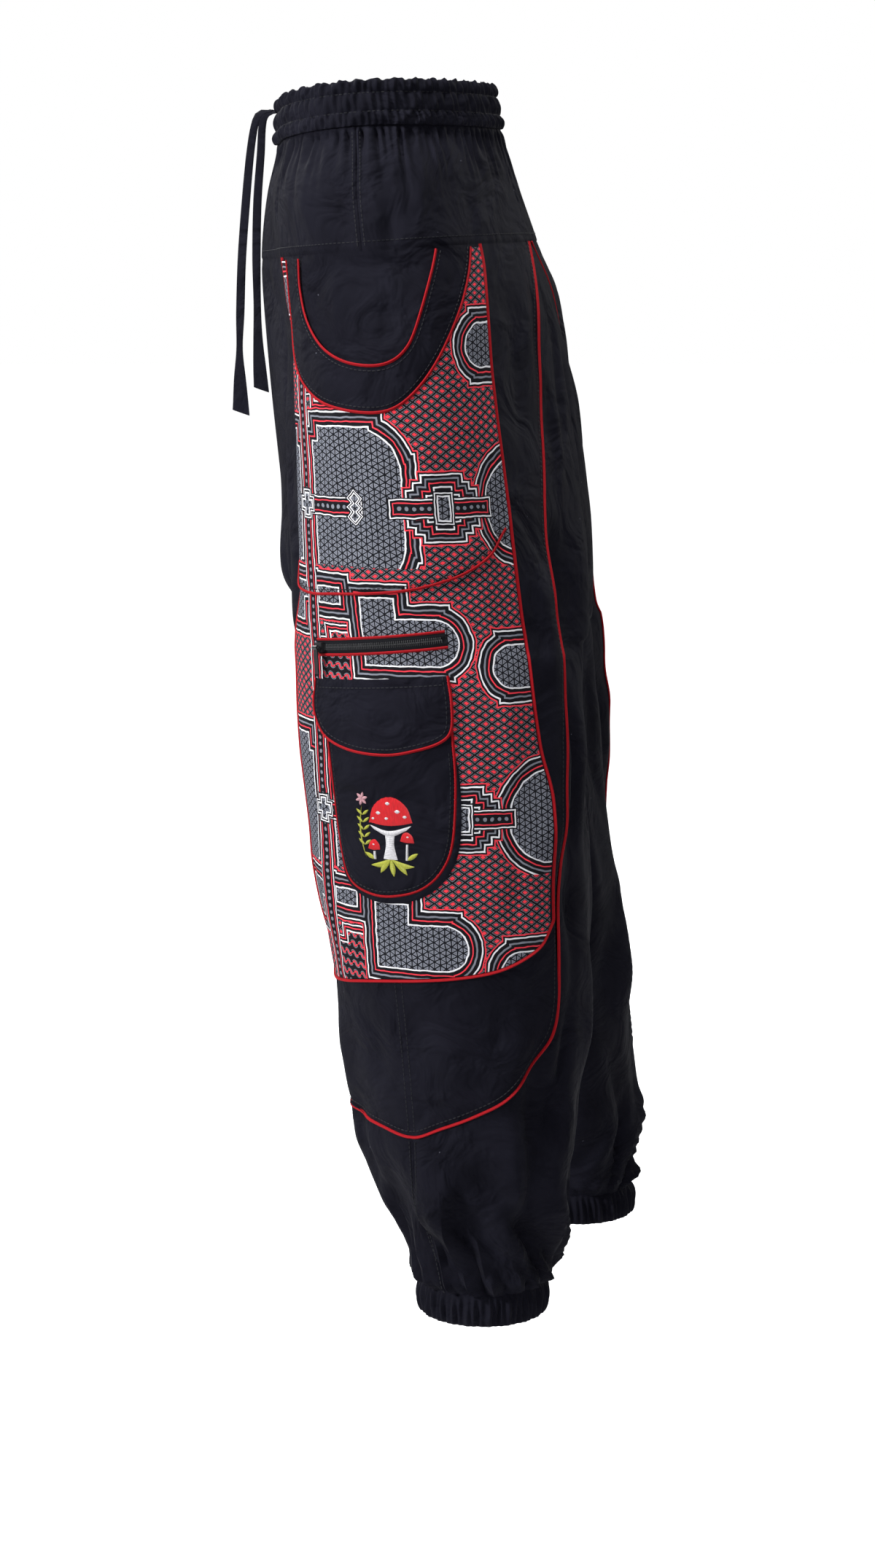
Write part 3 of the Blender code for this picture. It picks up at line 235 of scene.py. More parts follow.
class Worn:
    """The cloth of one side as worn, tabled over level and over the share of the way round.

    A level's outline is an ellipse, cut at the middle of the body above the crotch and pulled out
    there, and whole below it. Folds move it along its normal by bells across their lines.
    """

    STEP, SHARES, LOW, HIGH = 1.0, 401, -996.0, 31.0

    def __init__(self, side):
        levels = np.arange(self.LOW, self.HIGH, self.STEP)
        cx, cy, hx, hy, front, back, turned, step = (
            read_table(SECTIONS, k, levels)[:, None] for k in range(1, 9))
        above_crotch = levels[:, None] > CROTCH
        start = np.where(above_crotch, np.arccos(np.minimum(cx / hx, 1.0)), 0.0)
        turn = start + (2 * np.pi - 2 * start) * np.linspace(0, 1, 361)
        x = cx - hx * np.cos(turn)
        y = cy - hy * np.sin(turn)
        near = np.clip(1 - x / (cx + 0.35 * hx), 0, 1) ** 1.6
        y = y + np.where(np.sin(turn) > 0, -front, back) * near
        lengths = np.cumsum(np.hypot(np.diff(x, prepend=x[:, :1]), np.diff(y, prepend=y[:, :1])), axis=1)
        seam = [np.interp(np.pi + math.radians(a), t, row) for a, t, row in zip(turned[:, 0], turn, lengths)]
        arcs = lengths - np.array(seam)[:, None]
        along_x, along_y = np.gradient(x, axis=1), np.gradient(y, axis=1)
        length = np.hypot(along_x, along_y)
        depth = np.zeros_like(arcs)
        for top, bottom, arc_top, arc_bottom, width, size in FOLDS:
            ease = min(FOLD_EASE, (top - bottom) / 2)
            ends = smoothstep(np.minimum(top - levels, levels - bottom) / ease)[:, None]
            middle = (arc_top + (arc_bottom - arc_top) * (top - levels) / (top - bottom))[:, None]
            depth += size * ends * bell(arcs - middle, width)
        x = x + along_y / length * depth
        y = y - along_x / length * depth
        # above the crotch the halves meet at the body's middle, whatever the folds do there
        for edge in (0, -1):
            near_edge = smoothstep(1 - np.abs(arcs - arcs[:, [edge]]) / 45)
            x = x - np.where(above_crotch, x[:, [edge]] * near_edge, 0)
        if side == "right":
            joined = smoothstep((levels[:, None] + 520) / (CROTCH + 520))
            y = y + step * (1 - joined * (1 - smoothstep(x / 60)))
        self.edges = {"front": arcs[:, 0], "back": arcs[:, -1]}
        shares = np.linspace(-1, 1, self.SHARES)
        places = np.where(shares < 0, -shares * arcs[:, :1], shares * arcs[:, -1:])
        self.x, self.y = (np.array([np.interp(p, a, v) for p, a, v in zip(places, arcs, values)])
                          for values in (x, y))
        self.creases, self.cuff_folds = crease_table(side), cuff_folds(CUFF_SEEDS[side])

    def row(self, level):
        """The table's row at or below a level, and the share of the way to the next row."""
        place = np.clip((level - self.LOW) / self.STEP, 0, len(self.x) - 1.001)
        first = place.astype(int)
        return first, place - first

    def middle(self, level, which):
        """The arc where the front or the back ends: at the body's middle or at the inseam."""
        i, t = self.row(level)
        edge = self.edges[which]
        return edge[i] * (1 - t) + edge[i + 1] * t

    def at(self, arc, level):
        """Points, read between the table's rows and columns."""
        arc, level = np.broadcast_arrays(arc, level)
        i, t = self.row(level)
        share = np.where(arc < 0, -arc / self.middle(level, "front"), arc / self.middle(level, "back"))
        column = np.clip((share + 1) / 2 * (self.SHARES - 1), 0, self.SHARES - 1.001)
        j = column.astype(int)
        s = column - j
        x, y = ((g[i, j] * (1 - s) + g[i, j + 1] * s) * (1 - t)
                + (g[i + 1, j] * (1 - s) + g[i + 1, j + 1] * s) * t for g in (self.x, self.y))
        lean = smoothstep((level + 300) / 150) * WAIST_LEAN * y
        rise = smoothstep((level - YOKE_SEAM) / (WAIST_BOTTOM - YOKE_SEAM)) * 5.0 * ((x / 120.0) ** 2 - 0.5)
        return stacked(x, y, level + lean + rise)

    def normal(self, arc, level):
        """Outward directions, from the points a little way round and a little way down."""
        reach = 1.5
        along = self.at(arc + reach, level) - self.at(arc - reach, level)
        down = self.at(arc, level - reach) - self.at(arc, level + reach)
        return unit(np.cross(down, along))

    def creased(self, arc, level):
        """Height of the small creases: a bell across each line, eased along it, over a faint unevenness."""
        total = 0.3 * np.sin(arc / 17 + level / 41) * np.sin(level / 29 - arc / 53)
        total = total + 0.14 * np.sin(arc / 7.3 - level / 19) * np.sin(level / 11 + arc / 23)
        gathers = np.sin(arc / 1.9 + 2.2 * np.sin(arc / 13)) + 0.6 * np.sin(arc / 3.4 + 1)
        total = total + 0.8 * np.exp(np.minimum(CUFF_TOP - level, 0) / 13) * gathers
        above = level - CUFF_TOP
        total = total + 5.0 * bell(above - 12, 9)
        for start, lean, reach, width, depth in self.cuff_folds:
            share = np.clip(above / reach, 0, 1)
            middle = start * (1 + lean * share) + 3 * np.sin(3 * share + start)
            across = bell(arc - middle, width * (0.55 + 1.1 * share))
            total = total + depth * (1 - share) ** 1.3 * smoothstep(above / 9) * across
        seamed = smoothstep((level - YOKE_SEAM) / 4) + smoothstep((CALF - level) / 4)
        total = total - 0.7 * seamed * bell(arc, 1.3)
        fuller = smoothstep((CALF - level) / 60)
        for a0, v0, a1, v1, width, depth in self.creases:
            run = np.hypot(a1 - a0, v1 - v0)
            ua, uv = (a1 - a0) / run, (v1 - v0) / run
            along = ((arc - a0) * ua + (level - v0) * uv) / run
            across = (arc - a0) * -uv + (level - v0) * ua
            bow = 0.06 * run * np.sin(np.pi * np.clip(along, 0, 1))
            ends = smoothstep(np.minimum(along, 1 - along) / 0.4)
            ridge = bell(across - bow, width * (1 + 0.5 * fuller))
            total = total + CREASE_DEPTH * (1 + 0.7 * fuller) * depth * ends * ridge
        return total

    def lifted(self, arc, level, lift):
        """Points moved out along the normal by a lift and by the creases, which fade at the edges."""
        arc, level = np.broadcast_arrays(arc, level)
        middle = np.where(arc < 0, -self.middle(level, "front"), self.middle(level, "back"))
        fade = smoothstep((WAIST_BOTTOM + 4 - level) / 30) * smoothstep((level - CUFF_TOP) / 5)
        fade = fade * smoothstep((1 - np.abs(arc) / middle) / 0.07)
        height = lift + self.creased(arc, level) * fade
        return self.at(arc, level) + self.normal(arc, level) * height[..., None]


def crease_table(side):
    """The creases of one side: the right side's are shifted and sized a little otherwise."""
    table = np.array(CREASES, float)
    if side == "right":
        n = np.arange(len(table))
        table[:, 0] += 7 * np.sin(2.1 * n)
        table[:, 2] += 7 * np.sin(1.7 * n + 1)
        table[:, 1] += 12 * np.cos(1.3 * n)
        table[:, 3] += 12 * np.cos(2.9 * n)
        table[:, 5] *= 0.95 + 0.3 * np.sin(3.7 * n)
    return table


def cuff_folds(seed):
    """Folds that the cuff's elastic throws up the leg: start arc, lean outwards, reach, width and depth."""
    rng = np.random.default_rng(seed)
    starts = np.arange(-158, 159, 8.6)
    count = len(starts)
    arcs = starts + rng.uniform(-2.6, 2.6, count)
    leans = rng.uniform(0.15, 0.6, count)
    reaches = rng.choice([46, 76, 115, 165], count) * rng.uniform(0.85, 1.2, count)
    widths = rng.uniform(3.4, 6.0, count)
    signs = np.where(np.arange(count) % 2 == 0, -1.0, 1.0)
    return list(zip(arcs, leans, reaches, widths, signs * rng.uniform(4.5, 9.5, count)))


CUFF_SEEDS = {"left": 21, "right": 22}
WORN = {side: Worn(side) for side in SIDES}


# ------------------------------------------------------------------ paths on the cloth

def run_lengths(points):
    """The distance along a line at each of its points."""
    return np.concatenate([[0], np.cumsum(np.linalg.norm(np.diff(points, axis=0), axis=1))])


def line_length(points):
    """The sum of a line's steps."""
    return float(np.linalg.norm(np.diff(points, axis=0), axis=1).sum())


def even(points, count):
    """The same line at evenly spaced points."""
    lengths = run_lengths(points)
    places = np.linspace(0, lengths[-1], count)
    return stacked(*(np.interp(places, lengths, column) for column in points.T))


def curve(points, count):
    """Even samples of a Catmull-Rom curve through a few points."""
    p = np.array(points, float)
    p = np.vstack([2 * p[0] - p[1], p, 2 * p[-1] - p[-2]])
    t = np.linspace(0, 1, 16, endpoint=False)[None, :, None]
    a, b, c, d = (p[k:len(p) - 3 + k, None, :] for k in range(4))
    square, cube = 2 * a - 5 * b + 4 * c - d, 3 * b - a - 3 * c + d
    run = 0.5 * (2 * b + (c - a) * t + square * t ** 2 + cube * t ** 3)
    return even(np.vstack([run.reshape(-1, p.shape[1]), p[-2:-1]]), count)


def sideways(path, distance):
    """A path on the cloth moved to its left-hand side, as seen going along it."""
    along = unit(np.gradient(path, axis=0))
    return path + stacked(-along[:, 1], along[:, 0]) * distance


def between(first, second, shares):
    """Arcs and levels of a grid between two paths with the same number of points."""
    grid = first[None] + (second - first)[None] * shares[:, None, None]
    return grid[..., 0], grid[..., 1]


def edge_path(table, start, end, count, shift=0.0):
    """A path along a tabled edge from one level to another."""
    levels = np.linspace(start, end, count)
    return stacked(read_table(table, 1, levels) + shift, levels)


def panel_outline():
    """The side panel's seam: from the yoke down its front, along its hem, and up its back."""
    front = edge_path(FRONT_EDGE, YOKE_SEAM, PANEL_FRONT, 80)
    return front, curve(PANEL_HEM, 80), edge_path(BACK_EDGE, PANEL_BACK, YOKE_SEAM, 80)


def panel_back_seam(count):
    """The piped part of the side panel's seam: down its back, and along its hem to the front."""
    _, hem, back = panel_outline()
    return even(np.concatenate([back[::-1], hem[:-1][::-1]]), count)


# ------------------------------------------------------------------ meshes

def grid_faces(rows, cols, ring_rows=False, ring_cols=False):
    """Quads between neighbouring rows and columns, closed round where asked."""
    i = np.arange(rows if ring_rows else rows - 1)[:, None]
    j = np.arange(cols if ring_cols else cols - 1)[None, :]
    k, m = (i + 1) % rows, (j + 1) % cols
    return stacked(i * cols + j, k * cols + j, k * cols + m, i * cols + m).reshape(-1, 4)


def new_piece(name, vertices, faces, material, side="left", uv=None, sharp=50, stands_for=None):
    """One mesh object from arrays of points in millimetres and of quads, mirrored for the right side."""
    vertices = vertices.reshape(-1, 3) * MM
    if side == "right":
        vertices = vertices * MIRROR
        faces = faces[:, ::-1]
    mesh = bpy.data.meshes.new(name)
    mesh.vertices.add(len(vertices))
    mesh.vertices.foreach_set("co", vertices.astype(np.float32).ravel())
    mesh.loops.add(faces.size)
    mesh.loops.foreach_set("vertex_index", faces.astype(np.int32).ravel())
    mesh.polygons.add(len(faces))
    mesh.polygons.foreach_set("loop_start", np.arange(0, faces.size, faces.shape[1], dtype=np.int32))
    mesh.update(calc_edges=True)
    if uv is not None:
        layer = mesh.uv_layers.new(name="cut")
        layer.data.foreach_set("uv", (uv / CUT_MAP).astype(np.float32).reshape(-1, 2)[faces.ravel()].ravel())
    mesh.shade_smooth()
    mesh.set_sharp_from_angle(angle=math.radians(sharp))
    mesh.validate()
    piece = bpy.data.objects.new(name, mesh)
    bpy.context.scene.collection.objects.link(piece)
    mesh.materials.append(MATERIALS[material])
    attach(piece, BODY)
    if stands_for:
        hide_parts(stands_for)
    return piece


def shell(name, outer, places, side="left", material="black_cotton_poplin", thickness=0.7, held="hung",
          rests_on=(), with_pieces=(), stands_for=None):
    """Cloth: an outer grid, the same grid moved in by the thickness along its own normal, and the rim."""
    rows, cols = outer.shape[:2]
    normal = unit(np.cross(np.gradient(outer, axis=0), np.gradient(outer, axis=1)))
    inner = outer - normal * thickness
    n = rows * cols
    index = np.arange(n).reshape(rows, cols)
    front = grid_faces(rows, cols)
    quads = [front, front[:, ::-1] + n]
    for line, flip in ((index[0], True), (index[-1], False), (index[:, 0], False), (index[:, -1], True)):
        a, b = line[:-1], line[1:]
        quad = stacked(a, b, b + n, a + n)
        quads.append(quad if flip else quad[:, ::-1])
    piece = new_piece(name, np.stack([outer, inner]), np.concatenate(quads), material, side,
                      uv=np.stack([places, places]), stands_for=stands_for)
    if held:
        declare_sheet(places)
    return piece


def declare_sheet(places):
    """Work out the cut's area, width and length from the grid laid flat in (arc, level), as a strip's where
    its outline bends too far round; nothing uses them.
    """
    one, other = places[1:, 1:] - places[:-1, :-1], places[:-1, 1:] - places[1:, :-1]
    area = float(np.abs(one[..., 0] * other[..., 1] - one[..., 1] * other[..., 0]).sum()) / 2 * MM * MM
    width, length = np.ptp(places.reshape(-1, 2), axis=0) * MM
    if area < STRIP_SHARE * width * length:
        length = line_length(places[len(places) // 2]) * MM
        width = area / length


def stop_at_middle(grid):
    """Keep a grid from crossing the middle of the body, where the other half meets it."""
    grid[..., 0] = np.maximum(grid[..., 0], 0.0)
    return grid


def cloth(name, side, arcs, levels, lift, node=None, **kept):
    """A piece of cloth over a grid of arcs and levels, at a lift above the worn surface.

    It stands for a node, or where it is called dressed, for the node of the same name.
    """
    node = node or (name.removesuffix("_dressed") if name.endswith("_dressed") else None)
    outer = stop_at_middle(WORN[side].lifted(arcs, levels, lift))
    places = stacked(arcs, levels)
    return shell(f"{name}_{side}", outer, places, side, stands_for=node and f"{node}_{side}", **kept)


def edge_dip(grid, reach, depth, sides=(1, 1, 1, 1)):
    """A seam's groove: the cloth turns in by depth at its edges: top, bottom, front and back."""
    i, j = np.indices(grid.shape)
    dip = np.zeros(grid.shape)
    for distance, wanted in zip((i, i[::-1], j, j[:, ::-1]), sides):
        dip = np.maximum(dip, bell(distance, reach) * wanted)
    return -depth * dip


def tube(name, rings, material, side="left", **kept):
    """A tube through rings of points (stations, ring, 3), closed at both ends by quads across the ring."""
    stations, ring = rings.shape[:2]
    k = np.arange(ring // 2 - 1)
    cap = stacked(k, k + 1, ring - 2 - k, ring - 1 - k)
    quads = [grid_faces(stations, ring, ring_cols=True), cap, (cap + (stations - 1) * ring)[:, ::-1]]
    return new_piece(name, rings, np.concatenate(quads)[:, ::-1], material, side, **kept)


def closed_band(name, loop, places, side, node, flat, **kept):
    """A gathered casing: rings from its outside over its edge to its inside, closed both ways."""
    faces = grid_faces(*loop.shape[:2], ring_rows=True, ring_cols=True)
    band = new_piece(name, loop, faces, "black_cotton_poplin", side, uv=places, stands_for=node)


def dashes(name, centres, along, out, size, material, side):
    """Many small rounded bars in one mesh: four square sections each, the end ones less than half as big.

    A size is (length, width, height): the length lies along a bar's direction, the height stands out.
    """
    along = unit(along)
    across = unit(np.cross(out, along))
    stations = np.array([-0.5, -0.32, 0.32, 0.5])[None, :, None, None]
    scale = np.array([0.4, 1.0, 1.0, 0.4])[None, :, None, None]
    corner = np.array([(-1, -0.4), (-0.6, 0.8), (0.6, 0.8), (1, -0.4)])
    length, width, height = size
    bars = (centres[:, None, None] + along[:, None, None] * length * stations
            + across[:, None, None] * (corner[:, :1] * width / 2)[None, None] * scale
            + out[:, None, None] * (corner[:, 1:] * height / 2)[None, None] * scale)
    base = np.concatenate([grid_faces(4, 4, ring_cols=True), [[3, 2, 1, 0]], [[12, 13, 14, 15]]])[:, ::-1]
    faces = (base[None] + 16 * np.arange(len(centres))[:, None, None]).reshape(-1, 4)
    new_piece(name, bars, faces, material, side, sharp=80)


# ------------------------------------------------------------------ materials

MATERIALS = {}


def linear(value):
    """An sRGB hex colour as linear RGBA."""
    parts = [int(value[k:k + 2], 16) / 255 for k in (1, 3, 5)]
    return tuple(p / 12.92 if p <= 0.04045 else ((p + 0.055) / 1.055) ** 2.4 for p in parts) + (1.0,)


def connect(tree, node, inputs):
    """Set a node's inputs, or link them to sockets or to nodes' live outputs."""
    for key, value in inputs.items():
        if isinstance(value, bpy.types.Node):
            value = next(socket for socket in value.outputs if socket.enabled)
        if isinstance(value, bpy.types.NodeSocket):
            tree.links.new(value, node.inputs[key])
        else:
            node.inputs[key].default_value = value


def add(tree, kind, inputs, **settings):
    """Add a node with its properties, and its inputs as connect() takes them."""
    made = tree.nodes.new("ShaderNode" + kind)
    for key, value in settings.items():
        setattr(made, key, value)
    connect(tree, made, inputs)
    return made


def new_material(name, **shader):
    """A Principled material whose constants are set on its own sockets."""
    material = MATERIALS[name] = bpy.data.materials.new(name)
    material.use_nodes = True
    tree = material.node_tree
    node = tree.nodes["Principled BSDF"]
    connect(tree, node, {key.replace("_", " "): value for key, value in shader.items()})
    return tree, node


def cut_place(tree):
    """The place on the cloth, (arc, level) in millimetres, from the cut map."""
    uv = add(tree, "UVMap", {}, uv_map="cut")
    return add(tree, "VectorMath", {0: uv, "Scale": CUT_MAP}, operation="SCALE")


def folded(tree, nodes, operation):
    """Several values brought to one by an operation, two at a time."""
    total = nodes[0]
    for node in nodes[1:]:
        total = add(tree, "Math", {0: total, 1: node}, operation=operation)
    return total


def woven(tree, place, crumple, strength):
    """A normal for crumpled plain weave: crossed waves and uneven yarn, over soft creases 20 to 60 mm apart.

    Real threads lie 0.35 mm apart, which is too fine to show, so they are drawn 1 mm apart.
    """
    scaled = add(tree, "VectorMath", {0: place, "Scale": 2 * math.pi / THREAD_PITCH}, operation="SCALE")
    parts = add(tree, "SeparateXYZ", {0: add(tree, "VectorMath", {0: scaled}, operation="SINE")})
    crossed = add(tree, "Math", {0: parts.outputs[0], 1: parts.outputs[1]}, operation="MULTIPLY")
    yarn = add(tree, "TexNoise", {"Vector": place, "Scale": 1 / SLUB, "Detail": 2.0})
    threads = add(tree, "Math", {0: yarn, 1: 1.6, 2: crossed}, operation="MULTIPLY_ADD")
    broad = add(tree, "TexNoise", {"Vector": place, "Scale": 0.022, "Detail": 3.0, "Roughness": 0.5,
                                   "Distortion": 1.1})
    creases = add(tree, "Bump", {"Height": broad, "Strength": crumple, "Distance": 0.012})
    return add(tree, "Bump", {"Height": threads, "Strength": strength, "Distance": 0.0003, "Normal": creases})


def make_black_cotton(colours):
    """Reactive-dyed cotton poplin: matt blue-black, dusty where the yarn stands up, with a little lint.

    The dust lies in patches about 70 mm wide, and there is a fleck of lint in about every 22 mm.
    """
    tree, shader = new_material("black_cotton_poplin", Roughness=0.66, Specular_IOR_Level=0.05,
                                Sheen_Weight=0.01, Sheen_Roughness=0.45,
                                Specular_Tint=(0.82, 0.8, 1.0, 1.0))
    place = cut_place(tree)
    wear = add(tree, "TexNoise", {"Vector": place, "Scale": 0.014, "Detail": 5.0, "Roughness": 0.62})
    wear = add(tree, "MapRange", {0: wear, 1: 0.35, 2: 0.68})
    ground = tuple(colours.black_cotton)
    worn = tuple(part * 1.6 + 0.001 for part in ground)
    dyed = add(tree, "Mix", {0: wear, 6: ground + (1,), 7: worn + (1,)}, data_type="RGBA")
    lint = add(tree, "TexVoronoi", {"Vector": place, "Scale": 0.045, "Randomness": 1.0})
    lint = add(tree, "Math", {0: lint, 1: 0.022}, operation="LESS_THAN")
    dusty = add(tree, "Mix", {0: lint, 6: dyed, 7: linear("#5c5d68")}, data_type="RGBA")
    connect(tree, shader, {"Base Color": dusty, "Normal": woven(tree, place, 1.0, 0.45)})


# The print's motifs, repeated every PRINT_REPEAT down the cloth: centre (arc, drop), half size, kind
DOT_PITCH = 5.8
PRINT_REPEAT = 42 * DOT_PITCH
BAR_ARC, BAR_DROP = -12 * DOT_PITCH, 34 * DOT_PITCH
MOTIFS = [
    ((-8, 170), (34, 34), "round"), ((-8, 224), (34, 34), "round"), ((-22, BAR_DROP), (25, 62), "square"),
    ((-12, BAR_DROP), (38, 30), "square"), ((-30, BAR_DROP), (25, 50), "square"),
    ((-104, BAR_DROP), (16, 58), "square"), ((-98, BAR_DROP), (16, 44), "square"),
    ((133, BAR_DROP), (37, 37), "round"), ((103, 78), (16, 16), "round"), ((128, 78), (26, 16), "square"),
    ((42, 58), (18, 18), "round"), ((20, 58), (24, 18), "square"), ((-2, 50), (14, 26), "square"),
    ((-48, 24), (12, 6), "square"), ((-100, 34), (14, 12), "square"), ((-92, 22), (22, 6), "square"),
]
CROSSES = [((58, BAR_DROP), half, "square") for half in ((16, 1.5), (10, 7), (4, 13))]
BARS = [((BAR_ARC, BAR_DROP), (2.9, 400), "square"), ((-40, BAR_DROP), (28, 2.9), "square"),
        ((58, BAR_DROP), (38, 2.9), "square")]
CORES = [((58, BAR_DROP), (4.5, 9), "square"), ((BAR_ARC, BAR_DROP), (8, 2.6), "square"),
         ((BAR_ARC, BAR_DROP), (2.6, 8), "square")]
CORES += [((-14, BAR_DROP + drop), (1.9, 1.9), "diamond") for drop in (-7, 0, 7)]
CURLS = [((-44, 84), (26, 20), "square"), ((-34, 84), (15, 31), "square")]
# Bands round a motif, from its edge outwards: where each starts, in millimetres, and its colour
WHITE, GREY, INK, CORAL = "#dcdce0", "#757882", "#111116", "#de3b48"
WIDE_BANDS = [(0, WHITE), (1.2, INK), (3.8, CORAL), (4.8, INK), (7.0, GREY), (8.4, INK), (11.2, WHITE),
              (12.4, INK), (13.8, CORAL)]
NARROW_BANDS = [(0, INK), (2.6, WHITE), (3.8, INK), (6.0, CORAL), (7.0, INK), (9.0, GREY), (10.2, INK),
                (12.2, WHITE), (13.4, INK), (14.8, CORAL)]
BAR_BANDS = [(0, INK), (0.9, CORAL), (1.8, INK), (3.6, WHITE), (4.6, INK)]
CORE_BANDS = [(0, WHITE), (1.1, INK), (2.4, WHITE), (3.3, INK)]
CURL_BANDS = [(0, WHITE), (1.2, INK), (3.0, CORAL), (4.0, INK), (5.6, WHITE), (6.6, INK)]
# The same in shares of a cell
LOZENGE_BANDS = [(0, CORAL), (0.22, INK), (0.31, "#77757e"), (0.375, INK)]
STAR_BANDS = [(0, INK), (0.1, GREY), (0.27, "#44464f"), (0.31, INK)]


def motif_distance(tree, place, motifs):
    """Distance from the nearest of some motifs' edges.

    A round motif's distance is by length, a square one's along the longer axis, and a diamond's
    the sum of both axes.
    """
    found = []
    for centre, half, kind in motifs:
        offset = add(tree, "VectorMath", {0: place, 1: (*centre, 0)}, operation="SUBTRACT")
        if kind == "round":
            length = add(tree, "VectorMath", {0: offset}, operation="LENGTH")
            found.append(add(tree, "Math", {0: length, 1: half[0]}, operation="SUBTRACT"))
        else:
            quarter = add(tree, "VectorMath", {0: offset}, operation="ABSOLUTE")
            outside = add(tree, "VectorMath", {0: quarter, 1: (*half, 0)}, operation="SUBTRACT")
            parts = add(tree, "SeparateXYZ", {0: outside})
            found.append(folded(tree, parts.outputs[:2], "ADD" if kind == "diamond" else "MAXIMUM"))
    return folded(tree, found, "MINIMUM")


def banded(tree, value, bands, reach):
    """Colours that change in steps as a value goes from 0 to a reach."""
    ramp = add(tree, "ValToRGB", {0: add(tree, "Math", {0: value, 1: reach}, operation="DIVIDE")})
    ramp.color_ramp.interpolation = "CONSTANT"
    elements = ramp.color_ramp.elements
    elements.remove(elements[1])
    for start, colour in bands:
        element = elements.new(start / reach) if start else elements[0]
        element.color = linear(colour)
    return ramp


def line_waves(tree, place, directions, shift=0.0):
    """For each direction, the distance from its nearest line, as a share of the lines' spacing."""
    waves = []
    for direction in directions:
        along = add(tree, "VectorMath", {0: place, 1: (*direction, 0)}, operation="DOT_PRODUCT")
        if shift:
            along = add(tree, "Math", {0: along, 1: shift}, operation="ADD")
        waves.append(add(tree, "Math", {0: along, 1: 0.5}, operation="PINGPONG"))
    return waves


def star_lattice(tree, place):
    """Grey six-pointed stars on ink: thin ink lines in three directions, sixty degrees and 4.7 mm apart."""
    turns = [math.radians(angle) for angle in (0, 60, 120)]
    lines = line_waves(tree, place, [(math.cos(turn) / 4.7, math.sin(turn) / 4.7) for turn in turns])
    return banded(tree, folded(tree, lines, "MINIMUM"), STAR_BANDS, 0.5)


def lozenge_trellis(tree, place):
    """Coral lozenges outlined in ink and grey, in cells 9.8 mm wide and 6.8 mm high."""
    lines = line_waves(tree, place, [(1 / 9.8, 1 / 6.8), (1 / 9.8, -1 / 6.8)], 0.5)
    return banded(tree, folded(tree, lines, "MAXIMUM"), LOZENGE_BANDS, 0.5)


def cell_place(tree, place, pitch):
    """The place inside square cells a pitch wide, from each cell's middle."""
    half = pitch / 2
    return add(tree, "VectorMath", {0: place, 1: (half,) * 3, 2: (-half,) * 3}, operation="WRAP")


def curl_field(tree, place):
    """Small hooks on ink: two half rings joined into an S in each 8.4 mm cell, coral with a grey rim."""
    pitch = 8.4
    parts = add(tree, "SeparateXYZ", {0: cell_place(tree, place, pitch)})
    side = add(tree, "Math", {0: parts.outputs[1]}, operation="SIGN")
    shifted = add(tree, "Math", {0: side, 1: pitch * 0.2, 2: parts.outputs[0]}, operation="MULTIPLY_ADD")
    centred = add(tree, "CombineXYZ", {0: shifted, 1: parts.outputs[1]})
    length = add(tree, "VectorMath", {0: centred}, operation="LENGTH")
    ring = add(tree, "Math", {0: length, 1: pitch * 0.2}, operation="SUBTRACT")
    ring = add(tree, "Math", {0: ring}, operation="ABSOLUTE")
    return banded(tree, ring, [(0, CORAL), (0.55, INK), (0.95, GREY), (1.5, INK)], pitch)


def dot_grid(tree, place):
    """Grey dots on ink, one in each cell of the bars' own spacing."""
    length = add(tree, "VectorMath", {0: cell_place(tree, place, DOT_PITCH)}, operation="LENGTH")
    return banded(tree, length, [(0, GREY), (1.55, INK)], 6.0)


def make_print():
    """Pigment-printed cotton: flat inks on black, in concentric bands round stepped and round motifs.

    Each layer of motifs has a field inside and bands outside, and covers the layers before it. The
    outlines wander by half a millimetre, as a hand-cut screen's do.
    """
    tree, shader = new_material("printed_cotton", Roughness=0.84, Specular_IOR_Level=0.1)
    place = cut_place(tree)
    wander = add(tree, "TexNoise", {"Vector": place, "Scale": 0.11, "Detail": 1.0})
    centred = add(tree, "VectorMath", {0: wander.outputs[1], 1: (0.5,) * 3}, operation="SUBTRACT")
    drawn = add(tree, "VectorMath", {0: centred, 1: (2.2, 2.2, 0), 2: place}, operation="MULTIPLY_ADD")
    parts = add(tree, "SeparateXYZ", {0: drawn})
    drop = add(tree, "Math", {0: YOKE_SEAM, 1: parts.outputs[1]}, operation="SUBTRACT")
    drop = add(tree, "Math", {0: drop, 1: PRINT_REPEAT}, operation="FLOORED_MODULO")
    tile = add(tree, "CombineXYZ", {0: parts.outputs[0], 1: drop})
    stars = star_lattice(tree, drawn)
    colour = lozenge_trellis(tree, drawn)
    for motifs, field, bands, reach in (
            (CURLS, curl_field(tree, drawn), CURL_BANDS, 7.6), (MOTIFS, stars, WIDE_BANDS, 14.8),
            (CROSSES, stars, NARROW_BANDS, 15.8), (BARS, dot_grid(tree, tile), BAR_BANDS, 5.6),
            (CORES, stars, CORE_BANDS, 4.6)):
        distance = motif_distance(tree, tile, motifs)
        for over, limit in ((banded(tree, distance, bands, reach), reach), (field, 0)):
            inside = add(tree, "Math", {0: distance, 1: limit}, operation="LESS_THAN")
            colour = add(tree, "Mix", {0: inside, 6: colour, 7: over}, data_type="RGBA")
    connect(tree, shader, {"Base Color": colour, "Normal": woven(tree, place, 0.4, 0.35)})


def shade(tree, shader, colour, share, tones, height, strength):
    """A colour that goes from a darker to a lighter tone by a share, over a fine bump."""
    dark, light = (tuple(min(part * tone, 1.0) for part in colour[:3]) + (1,) for tone in tones)
    connect(tree, shader, {
        "Base Color": add(tree, "Mix", {0: share, 6: dark, 7: light}, data_type="RGBA"),
        "Normal": add(tree, "Bump", {"Height": height, "Strength": strength, "Distance": 0.0002})})


